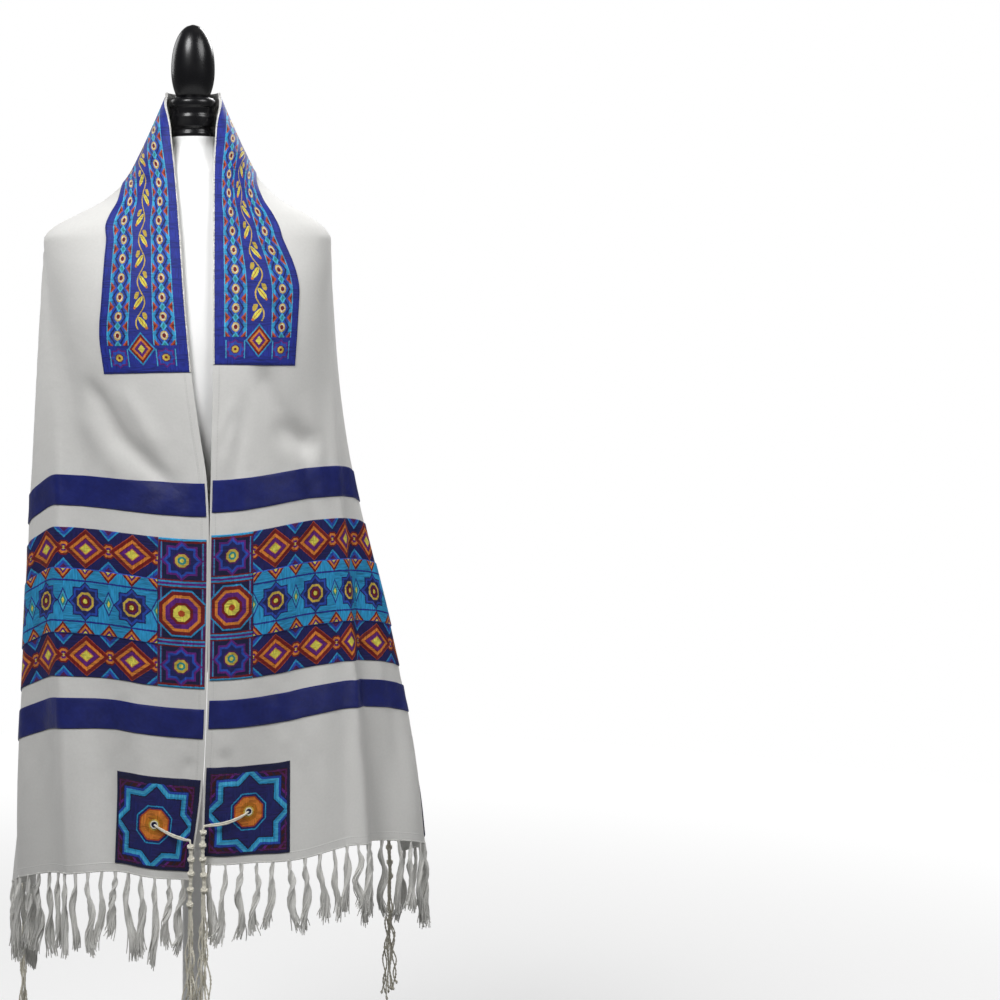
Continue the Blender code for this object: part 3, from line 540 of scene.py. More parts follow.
    def half(self, side: Side, length: Array, across: Array) -> Array:
        """Points of one half of the shawl, before its creases.

        Args:
            side: the end in hand.
            length: lengths from the neck edge's middle.
            across: across lengths, of shape (n,).

        Returns:
            Points of shape (n, 3).
        """
        across = self.gathered(side, length, across)
        past = length - self.tip_along
        beyond = across - self.tip_across
        cone = (past > 0) & (beyond > 0)
        larger = np.maximum(past, beyond)
        rounded = soft_max(past, beyond, self.ridge_rounding) - larger
        level = np.where(cone, np.hypot(past, beyond), larger)
        above_tip = 1.0 - ramp(larger, 0.0, 0.03)
        near_neck = ramp(across, 0.0, 0.05) * ramp(length / self.tip_along * 3.0, 0.0, 1.0)
        drop = self.tip_drop + level + rounded * above_tip * near_neck
        turn = np.degrees(np.arctan2(beyond, past))
        forward = (past >= beyond) & ~cone
        backward = ~forward & ~cone
        plan = np.empty((len(length), 2))
        tip = np.array([self.tip_out[side], 0.0])
        plan[cone] = tip + self.direction(side, level[cone], turn[cone]) * level[cone, None]
        ridge = np.maximum(np.minimum(past, 0.0) - beyond, 0.0)[forward]
        share = ridge / np.maximum(ridge + across[forward], 1e-9)
        plan[forward] = self.front(side, drop[forward], past[forward], share)
        ridge = np.maximum(np.minimum(beyond, 0.0) - past, 0.0)[backward]
        share = ridge / np.maximum(ridge + length[backward], 1e-9)
        plan[backward] = self.behind(side, drop[backward], beyond[backward], share)
        settled = self.edge[f"{side.word}_settled"](drop) * (1.0 - ramp(across, 0.0, 0.15))
        plan = self.clear_of_body(plan, drop)
        drop = drop + np.where(forward, settled, 0.0)
        if side is Side.LEFT:
            fall = self.left_side_fall * ramp(past, 0.0, 0.25) * ramp(turn, 0.0, 12.0)
            drop = drop + np.where(cone, fall, 0.0)
        drop = drop + self.hem_fall[side] * ramp(across, 0.08, 0.12) * ramp(length, 0.62, 0.32)
        return np.stack((side.value * plan[:, 0], plan[:, 1], self.neck_top - drop), axis=1)

    def plain(self, along: Array, across: Array) -> Array:
        """Points of the draped cloth, before its creases.

        Args:
            along: along lengths, of shape (n,).
            across: across lengths, of shape (n,).

        Returns:
            Points of shape (n, 3).
        """
        length = np.abs(along - self.neck_shift)
        on_right = along >= self.neck_shift
        points = np.empty((len(along), 3))
        for side, chosen in ((Side.RIGHT, on_right), (Side.LEFT, ~on_right)):
            points[chosen] = self.half(side, length[chosen], across[chosen])
        return points

    def creased(self, along: Array, across: Array) -> Array:
        """How far the creases and the slack of the hanging ends move the cloth out.

        Args:
            along: along lengths, of shape (n,).
            across: across lengths, of shape (n,).

        Returns:
            Heights above the plain surface.
        """
        relief = np.zeros_like(along)
        length = np.abs(along)
        for crease in CREASES:
            a = np.array([crease.start_along, crease.start_across])
            run = np.array([crease.end_along, crease.end_across]) - a
            u = ((length - a[0]) * run[0] + (across - a[1]) * run[1]) / run.dot(run)
            taper = ramp(u, -0.35, 0.6) * ramp(1.35 - u, 0.0, 0.6)
            foot = a + np.clip(u, -0.4, 1.4)[:, None] * run
            gap = np.hypot(length - foot[:, 0], across - foot[:, 1])
            on_side = np.sign(along) == crease.side.value
            relief += np.where(on_side, crease.depth * taper * np.exp(-((gap / crease.width) ** 2)), 0.0)
        low = ramp(length, 0.62, 0.30)
        inward = ramp(across, 0.0, 0.02)
        wave = np.sin(2 * np.pi * (across / self.slack_period + length * 0.9 + 0.15 * np.sign(along)))
        up = CUT.half_length - length
        rows = (CUT.square_rows[1], *CUT.lower_rows, *CUT.band_rows, *CUT.upper_rows)
        near = np.max([np.exp(-(((up - row) / self.pucker_reach) ** 2)) for row in rows], axis=0)
        pucker = np.sin(2 * np.pi * (across / 0.037 + up * 7.0 + np.sign(along) * 0.2))
        pucker = pucker * (0.55 + 0.45 * np.sin(2 * np.pi * (across / 0.113 + up * 2.3)))
        return relief + inward * (self.slack_depth * low * wave + self.pucker_depth * near * pucker)

    def normals(self, surface: Callable[[Array, Array], Array], along: Array, across: Array) -> Array:
        """Outward normals of a surface, from points a little to each side.

        Args:
            surface: a function of along and across that gives points.
            along: along lengths, of shape (n,).
            across: across lengths, of shape (n,).

        Returns:
            Unit normals of shape (n, 3).
        """
        step = self.normal_step
        more = np.minimum(across + step, CUT.width)
        less = np.maximum(across - step, 0.0)
        run = surface(along + step, across) - surface(along - step, across)
        rise = surface(along, more) - surface(along, less)
        normal = np.cross(run, rise)
        return normal / np.maximum(np.linalg.norm(normal, axis=1, keepdims=True), 1e-12)

    def surface(self, along: Array, across: Array) -> Array:
        """Points of the cloth's middle surface, with its creases."""
        relief = self.creased(along, across)
        return self.plain(along, across) + self.normals(self.plain, along, across) * relief[:, None]

    def sheet(self, along: Array, across: Array, lift: Array | float) -> Array:
        """Points above the cloth's middle surface.

        Args:
            along: along lengths, of any shape.
            across: across lengths, of the same shape.
            lift: heights above the middle surface, of the same shape or one number.

        Returns:
            Points of that shape, with a last axis of 3.
        """
        shape = along.shape
        a, c = along.ravel(), across.ravel()
        height = np.broadcast_to(np.asarray(lift, dtype=float), shape).ravel()
        points = self.surface(a, c) + self.normals(self.surface, a, c) * height[:, None]
        return points.reshape(*shape, 3)


DRAPE = Drape()


# Mesh work


class Workbench:
    """Blender's own tools, used the same way for every piece."""

    weld = 0.00002
    end_share = 0.02

    @staticmethod
    def take(*pieces: Piece) -> None:
        """Deselects everything, then selects these pieces and makes the first of them active.

        Args:
            pieces: the pieces to work on, if any.
        """
        bpy.ops.object.select_all(action="DESELECT")
        for piece in reversed(pieces):
            piece.select_set(True)
            bpy.context.view_layer.objects.active = piece

    @classmethod
    def grid(cls, name: str, columns: int, rows: int) -> Piece:
        """A flat grid primitive, ready to be shaped.

        Args:
            name: the piece's name.
            columns: faces across.
            rows: faces along.

        Returns:
            The piece.
        """
        cls.take()
        bpy.ops.mesh.primitive_grid_add(x_subdivisions=columns, y_subdivisions=rows, size=2.0)
        piece = bpy.context.active_object
        piece.name = piece.data.name = name
        return piece

    @staticmethod
    def shape(piece: Piece, points: Array) -> tuple[Array, Array]:
        """Moves a grid's vertices to a field of points.

        Args:
            piece: a grid from grid().
            points: an array of shape (columns + 1, rows + 1, 3).

        Returns:
            The column and the row number of each vertex.
        """
        count = len(piece.data.vertices)
        flat = np.empty(count * 3)
        piece.data.vertices.foreach_get("co", flat)
        flat = flat.reshape(-1, 3)
        column = np.rint((flat[:, 0] + 1) / 2 * (points.shape[0] - 1)).astype(int)
        row = np.rint((flat[:, 1] + 1) / 2 * (points.shape[1] - 1)).astype(int)
        piece.data.vertices.foreach_set("co", points[column, row].ravel())
        piece.data.update()
        return column, row

    @classmethod
    def smooth(cls, piece: Piece, degrees: float = 50.0) -> None:
        """Shades a piece smooth but for edges sharper than an angle."""
        cls.take(piece)
        bpy.ops.object.shade_smooth_by_angle(angle=math.radians(degrees))

    @classmethod
    def cloth(cls, name: str, along: Array, across: Array, lift: Array | float, wall: float,
              offset: float) -> Piece:
        """Lays a piece over the drape, with its flat lengths as a UV map, and gives it a closed wall.

        Args:
            name: the piece's name.
            along: its stations along the cloth, rising.
            across: its stations across the cloth, rising.
            lift: heights above the cloth's middle surface.
            wall: the wall's thickness.
            offset: -1 for a wall inside the surface, 0 for one about it.

        Returns:
            The piece.
        """
        a, c = np.meshgrid(along, across, indexing="ij")
        piece = cls.grid(name, len(along) - 1, len(across) - 1)
        column, row = cls.shape(piece, DRAPE.sheet(a, c, lift))
        layer = piece.data.uv_layers.new(name="cloth")
        corners = np.empty(len(piece.data.loops), dtype=int)
        piece.data.loops.foreach_get("vertex_index", corners)
        layer.data.foreach_set("uv", np.stack((across[row], along[column]), axis=1)[corners].ravel())
        cls.take(piece)
        modifier = piece.modifiers.new("wall", "SOLIDIFY")
        modifier.thickness = wall
        modifier.offset = offset
        bpy.ops.object.modifier_apply(modifier=modifier.name)
        cls.smooth(piece, 60.0)
        return piece

    @classmethod
    def turn_out(cls, piece: Piece) -> None:
        """Welds coincident points and turns every face outwards.

        Args:
            piece: the piece to mend.
        """
        cls.take(piece)
        bpy.ops.object.mode_set(mode="EDIT")
        bpy.ops.mesh.select_all(action="SELECT")
        bpy.ops.mesh.remove_doubles(threshold=cls.weld)
        bpy.ops.mesh.normals_make_consistent(inside=False)
        bpy.ops.object.mode_set(mode="OBJECT")

    @classmethod
    def tube(cls, path: Array, radii: Array, around: int) -> Piece:
        """A closed tube along a path, with both ends drawn in.

        Args:
            path: points of shape (n, 3).
            radii: the tube's radius at each point.
            around: number of sides.

        Returns:
            The piece.
        """
        tangents = np.gradient(path, axis=0)
        tangents /= np.maximum(np.linalg.norm(tangents, axis=1, keepdims=True), 1e-12)
        guide = (0.0, 1.0, 0.05) if abs(tangents[0][1]) < 0.8 else (1.0, 0.0, 0.05)
        first = np.cross(np.array(guide), tangents)
        first /= np.linalg.norm(first, axis=1, keepdims=True)
        second = np.cross(tangents, first)
        closed = np.concatenate(([path[0]], path, [path[-1]]))
        radius = np.concatenate(([radii[0] * cls.end_share], radii, [radii[-1] * cls.end_share]))
        first = np.concatenate((first[:1], first, first[-1:]))
        second = np.concatenate((second[:1], second, second[-1:]))
        angle = np.linspace(0, 2 * np.pi, around + 1)[:, None, None]
        ring = first[None] * np.cos(angle) + second[None] * np.sin(angle)
        piece = cls.grid("tube", around, len(closed) - 1)
        cls.shape(piece, closed[None] + ring * radius[None, :, None])
        return piece

    @classmethod
    def join(cls, name: str, pieces: Sequence[Piece]) -> Piece:
        """Joins pieces into the first of them.

        Args:
            name: the joined piece's name.
            pieces: the objects to join.

        Returns:
            The joined object.
        """
        cls.take(*pieces)
        bpy.ops.object.join()
        joined = bpy.context.active_object
        joined.name = joined.data.name = name
        cls.turn_out(joined)
        cls.smooth(joined)
        return joined

    @classmethod
    def turned(cls, name: str, profile: Sequence[tuple[float, float]], steps: int) -> Piece:
        """A solid spun about the Z axis from a profile.

        Args:
            name: the piece's name.
            profile: (radius, height) points, from the top to the bottom.
            steps: faces around.

        Returns:
            The piece.
        """
        mesh = bpy.data.meshes.new(name)
        points = [(r, 0.0, z) for r, z in ((0.0, profile[0][1]), *profile, (0.0, profile[-1][1]))]
        mesh.from_pydata(points, [(n, n + 1) for n in range(len(points) - 1)], [])
        piece = bpy.data.objects.new(name, mesh)
        bpy.context.scene.collection.objects.link(piece)
        cls.take(piece)
        bpy.ops.object.mode_set(mode="EDIT")
        bpy.ops.mesh.select_all(action="SELECT")
        bpy.ops.mesh.spin(steps=steps, angle=2 * math.pi, center=(0, 0, 0), axis=(0, 0, 1))
        bpy.ops.object.mode_set(mode="OBJECT")
        cls.turn_out(piece)
        cls.smooth(piece, 35.0)
        return piece


def place(piece: Piece, finish: Material, slot: Slot, *nodes: str) -> Piece:
    """Dresses a piece and ties it to the frame.

    Args:
        piece: the finished mesh object.
        finish: its material.
        slot: the record's slot that the finish stands for; not used.
        nodes: the frame's nodes that it replaces.

    Returns:
        The same piece.
    """
    piece.data.materials.clear()
    piece.data.materials.append(finish)
    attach(piece, "root")
    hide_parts(*nodes)
    log.info("%s: %d faces", piece.name, len(piece.data.polygons))
    return piece


# Finishes


@dataclass(frozen=True)
class Field:
    """A number that varies over a surface: a socket that takes part in sums."""

    tree: bpy.types.NodeTree
    socket: Socket

    def maths(self, operation: str, *others: Field | float) -> Field:
        """The result of one math node on this field and others.

        Args:
            operation: the math node's operation.
            others: the node's other values.

        Returns:
            The result.
        """
        node = self.tree.nodes.new("ShaderNodeMath")
        node.operation = operation
        for entry, value in zip(node.inputs, (self, *others)):
            if isinstance(value, Field):
                self.tree.links.new(value.socket, entry)
            else:
                entry.default_value = value
        return Field(self.tree, node.outputs[0])

    def __add__(self, other: Field | float) -> Field:
        """The sum."""
        return self.maths("ADD", other)

    def __sub__(self, other: Field | float) -> Field:
        """The difference."""
        return self.maths("SUBTRACT", other)

    def __rsub__(self, other: float) -> Field:
        """A number less this field."""
        return (self * -1.0) + other

    def __mul__(self, other: Field | float) -> Field:
        """The product."""
        return self.maths("MULTIPLY", other)

    def __truediv__(self, other: float) -> Field:
        """The quotient."""
        return self.maths("MULTIPLY", 1.0 / other)

    def __abs__(self) -> Field:
        """The size without its sign."""
        return self.maths("ABSOLUTE")

    def low(self, other: Field | float) -> Field:
        """The smaller of two."""
        return self.maths("MINIMUM", other)

    def high(self, other: Field | float) -> Field:
        """The larger of two."""
        return self.maths("MAXIMUM", other)

    def below(self, limit: Field | float) -> Field:
        """1 where the field is less than the limit, else 0."""
        return self.maths("LESS_THAN", limit)

    def above(self, limit: Field | float) -> Field:
        """1 where the field is more than the limit, else 0."""
        return self.maths("GREATER_THAN", limit)

    def from_nearest(self, pitch: float, phase: float = 0.0) -> Field:
        """The signed distance from the nearest of evenly spaced marks."""
        shifted = self + (pitch / 2 - phase)
        return shifted.maths("FLOORED_MODULO", pitch) - pitch / 2

    def near(self, level: float, reach: float) -> Field:
        """1 where the field is within reach of a level, else 0."""
        return abs(self - level).below(reach)

    def dashes(self, pitch: float, half: float) -> Field:
        """1 along evenly spaced dashes, 0 in the gaps between them."""
        return abs(self.from_nearest(pitch)).below(half)

    def wave(self, period: float) -> Field:
        """A sine wave of that period, from -1 to 1."""
        return (self * (2 * math.pi / period)).maths("SINE")

    def eased(self, start: float, end: float) -> Field:
        """0 before start, 1 after end, and a smooth ramp between.

        Args:
            start: the value where the ramp starts.
            end: the value where it ends.

        Returns:
            The ramp.
        """
        node = self.tree.nodes.new("ShaderNodeMapRange")
        node.interpolation_type = "SMOOTHSTEP"
        self.tree.links.new(self.socket, node.inputs["Value"])
        node.inputs["From Min"].default_value = start
        node.inputs["From Max"].default_value = end
        return Field(self.tree, node.outputs["Result"])

    def distance(self, other: Field) -> Field:
        """The length of the vector with these two as its parts."""
        return (self * self + other * other).maths("SQRT")


@dataclass(frozen=True)
class Thread:
    """A motif or part of one: where it lies, its colour, and how proud it is."""

    mask: Field
    colour: Colour
    height: float = 1.0


class Finish:
    """A material in the making."""

    def __init__(self, name: str, roughness: float, **settings: float) -> None:
        """Starts the material.

        Args:
            name: the material's name.
            roughness: the shader's roughness.
            settings: other shader sockets by name, with underscores for spaces.
        """
        self.material = bpy.data.materials.new(name)
        self.material.use_nodes = True
        self.tree = self.material.node_tree
        self.shader = self.tree.nodes["Principled BSDF"]
        self.shader.inputs["Roughness"].default_value = roughness
        for key, value in settings.items():
            self.shader.inputs[key.replace("_", " ")].default_value = value

    def node(self, kind: str, links: dict[str, object], **settings: object) -> bpy.types.Node:
        """Adds one node.

        Args:
            kind: the node's type name.
            links: a value, field or socket for each input by name.
            settings: the node's own properties.

        Returns:
            The new node.
        """
        made = self.tree.nodes.new(kind)
        for key, value in settings.items():
            setattr(made, key, value)
        for key, value in links.items():
            entry = made.inputs[int(key) if key.isdigit() else key]
            source = value.socket if isinstance(value, Field) else value
            if isinstance(source, Socket):
                self.tree.links.new(source, entry)
            else:
                entry.default_value = source
        return made

    def layout(self) -> Socket:
        """The flat cloth's across and along lengths, as a vector."""
        return self.node("ShaderNodeUVMap", {}, uv_map="cloth").outputs["UV"]

    def position(self) -> Socket:
        """The object's own coordinates, as a vector."""
        return self.node("ShaderNodeTexCoord", {}).outputs["Object"]

    def parts(self, vector: Socket) -> list[Field]:
        """The X, Y and Z of a vector."""
        split = self.node("ShaderNodeSeparateXYZ", {"Vector": vector})
        return [Field(self.tree, split.outputs[axis]) for axis in "XYZ"]

    def noise(self, scale: float, detail: float = 2.0, flat: bool = True) -> Field:
        """Soft noise from 0 to 1.

        Args:
            scale: waves for each metre.
            detail: octaves of finer noise.
            flat: whether it follows the flat cloth or the object's own place.

        Returns:
            The noise as a field.
        """
        vector = self.layout() if flat else self.position()
        made = self.node("ShaderNodeTexNoise", {"Vector": vector, "Scale": scale, "Detail": detail})
        return Field(self.tree, made.outputs["Fac"])

    def mixed(self, mask: Field | float, under: object, over: object, blend: str = "MIX") -> Socket:
        """One colour over another.

        Args:
            mask: 0 for the colour under, 1 for the one over.
            under: a colour or its socket.
            over: a colour or its socket.
            blend: the Mix node's blend type.

        Returns:
            The mixed colour's socket.
        """
        first, second = ((*c, 1.0) if isinstance(c, tuple) else c for c in (under, over))
        links = {"0": mask, "6": first, "7": second}
        return self.node("ShaderNodeMix", links, data_type="RGBA", blend_type=blend).outputs[2]

    def scaled(self, colour: object, amount: Field) -> Socket:
        """A colour made lighter or darker by a field around 1."""
        grey = self.node("ShaderNodeCombineColor", {"Red": amount, "Green": amount, "Blue": amount})
        return self.mixed(1.0, colour, grey.outputs[0], "MULTIPLY")

    def sewn(self, ground: object, threads: Sequence[Thread]) -> tuple[Socket, Field]:
        """Lays threads over a ground.

        Args:
            ground: the ground's colour.
            threads: the motifs, each over those before it.

        Returns:
            The colour, and the height of the threads in units of one layer.
        """
        colour = ground
        height = threads[0].mask * 0.0
        for thread in threads:
            colour = self.mixed(thread.mask, colour, thread.colour)
            height = height + thread.mask * (height * -1.0 + thread.height)
        return colour, height

    def close(self, colour: object, height: Field | None = None, depth: float = 0.001,
              strength: float = 0.6, roughness: Field | None = None) -> Material:
        """Connects the shader.

        Args:
            colour: a colour or colour socket.
            height: relief in units of depth.
            depth: the bump's distance in metres.
            strength: the bump's strength.
            roughness: varying roughness, if any.

        Returns:
            The material.
        """
        base = self.shader.inputs["Base Color"]
        if isinstance(colour, tuple):
            base.default_value = (*colour, 1.0)
        else:
            self.tree.links.new(colour, base)
        if roughness is not None:
            self.tree.links.new(roughness.socket, self.shader.inputs["Roughness"])
        if height is not None:
            bump = self.node("ShaderNodeBump", {"Height": height, "Distance": depth, "Strength": strength})
            self.tree.links.new(bump.outputs["Normal"], self.shader.inputs["Normal"])
        return self.material


def star_metrics(x: Field, y: Field) -> tuple[Field, Field]:
    """Measures for eight-sided motifs about a centre.

    Args:
        x: distance from the centre one way.
        y: distance from the centre the other way.

    Returns:
        A measure whose level lines are eight-pointed stars, and one whose level lines are octagons.
    """
    upright = abs(x).high(abs(y))
    turned = (abs(x) + abs(y)) * math.sqrt(0.5)
    return upright.low(turned), upright.high(turned)


def nested(metric: Field, rings: Sequence[tuple[float, Colour]], within: Field | None = None) -> list[Thread]:
    """Nested shapes of one motif.

    Args:
        metric: a measure that grows from the motif's centre.
        rings: (limit, colour) from the outermost ring in.
        within: where the motif may lie, if not everywhere.

    Returns:
        One thread layer for each ring.
    """
    layers = []
    for number, (limit, colour) in enumerate(rings):
        mask = metric.below(limit)
        if within is not None:
            mask = mask * within
        layers.append(Thread(mask, colour, 1.0 if number % 2 else 0.72))
    return layers


class ThreadWork(Finish):
    """Dense machine embroidery: motifs in satin stitch over a woven ground."""

    stitch = 0.00135
    wander = 0.0012

    def __init__(self, name: str) -> None:
        """Starts the embroidery, and measures the cloth from its hem and edges.

        Args:
            name: the material's name.
        """
        super().__init__(name, 0.46, Specular_IOR_Level=0.24)
        layout = self.layout()
        across, along, _ = self.parts(layout)
        pull = self.node("ShaderNodeTexNoise", {"Vector": layout, "Scale": 520.0, "Detail": 1.0})
        parts = self.node("ShaderNodeSeparateColor", {"Color": pull.outputs["Color"]})
        self.straight = (across, along)
        self.across = across + (Field(self.tree, parts.outputs["Red"]) - 0.5) * self.wander
        self.along = along + (Field(self.tree, parts.outputs["Green"]) - 0.5) * self.wander
        self.from_hem = CUT.half_length - abs(self.along)
        self.from_side = self.across.low(CUT.width - self.across)

    def above_middle(self, rows: tuple[float, float]) -> Field:
        """Distance up from the middle of two rows."""
        return self.from_hem - rows[0] - (rows[1] - rows[0]) / 2

    def streaks(self, over: float, up: float) -> Field:
        """Noise drawn out along the threads.

        Args:
            over: waves for each metre across the cloth.
            up: waves for each metre along it.

        Returns:
            The noise, from 0 to 1.
        """
        across, along = self.straight
        spot = self.node("ShaderNodeCombineXYZ", {"X": across * over, "Y": along * up})
        made = self.node("ShaderNodeTexNoise", {"Vector": spot.outputs[0], "Scale": 1.0, "Detail": 2.0})
        return Field(self.tree, made.outputs["Fac"])

    def finished(self, ground: Colour, threads: Sequence[Thread], slant: Field) -> Material:
        """Adds stitches, uneven threads and painted sheen, and closes the material.

        Args:
            ground: the ground's colour.
            threads: the motifs.
            slant: positive where stitches lean one way, negative where they lean the other.

        Returns:
            The material.
        """
        colour, height = self.sewn(ground, threads)
        one_way = (self.across + self.along * 0.75).wave(self.stitch)
        other_way = (self.across - self.along * 0.75).wave(self.stitch)
        leans = slant.above(0.0)
        stitches = one_way * leans + other_way * (1.0 - leans)
        thread_streaks_and_sheen = self.streaks(560.0, 80.0) * leans + self.streaks(80.0, 560.0) * (1.0 - leans)
        broad = self.noise(45.0, 2.0)
        # Painted sheen: stitch ridges and the facets whose stitches lean one way are painted lighter, and the
        # streaks along the threads are partly uneven thread tone and partly painted sheen; the broad noise is
        # uneven thread tone.
        light = stitches * 0.08 + thread_streaks_and_sheen * 1.70 + broad * 0.34 + (leans * 0.16 - 0.10)
        colour = self.scaled(colour, light)
        relief = height * 0.9 + stitches * height * 0.16 + thread_streaks_and_sheen * 0.90
        sheen = 0.50 - height * 0.12 + thread_streaks_and_sheen * 0.16
        return self.close(colour, relief, 0.0007, 0.75, sheen)


def vine(x: Field, y: Field) -> list[Thread]:
    """A gold stem that waves along the band, with a leaf and a berry in each bend.

    Args:
        x: distance from the band's middle line.
        y: distance from the band's end.

    Returns:
        The vine's thread layers.
    """
    p = PALETTE
    bend = 0.0480
    within = y.above(0.0520)
    stem = abs(x - y.wave(bend) * 0.0052)
    ly = y.from_nearest(bend / 2, bend / 4)
    flip = y.wave(bend).above(0.0) * 2.0 - 1.0
    lx = x * flip
    cosine, sine = 0.62, 0.78
    along_leaf = (lx + 0.0030) * cosine + ly * sine
    across_leaf = (lx + 0.0030) * sine - ly * cosine
    leaf = (along_leaf / 0.0082).distance(across_leaf / 0.0029)
    other = ((along_leaf * 0.2 + across_leaf + 0.0062) / 0.0028).distance((along_leaf - 0.0050) / 0.0050)
    berry = (lx + 0.0078).distance(ly + 0.0065)
    return [
        Thread(stem.below(0.00085) * within, p.gold, 1.1),
        Thread(leaf.below(1.0) * within, p.yellow, 1.3),
        Thread(abs(across_leaf).below(0.00035) * leaf.below(0.85) * within, p.rust, 0.6),
        Thread(other.below(1.0) * within, p.gold, 1.2),
        Thread(berry.below(0.0017) * within, p.orange, 1.4),
    ]


def neckband_end(x: Field, y: Field, row: Field) -> list[Thread]:
    """A nested lozenge and two small stars at the band's end.

    Args:
        x: distance from the band's middle line.
        y: distance from the band's end.
        row: distance from the middle line of the nearer row.

    Returns:
        The thread layers.
    """
    p = PALETTE
    star_up = 0.0185
    cy = y - 0.0290
    lozenge = abs(x) / 0.0165 + abs(cy) / 0.0200
    star, octagon = star_metrics(row, y - star_up)
    threads = nested(lozenge, [
        (1.0, p.turquoise), (0.88, p.maroon), (0.68, p.orange), (0.50, p.purple), (0.26, p.yellow),
    ])
    threads += nested(star, [(0.0088, p.purple), (0.0072, p.bright_blue)])
    threads += nested(octagon, [(0.0052, p.plum), (0.0040, p.gold), (0.0016, p.maroon)])
    line = abs(row).near(0.0108, 0.0006) * y.near(star_up, 0.0105)
    return threads + [Thread(line, p.sky, 0.9)]


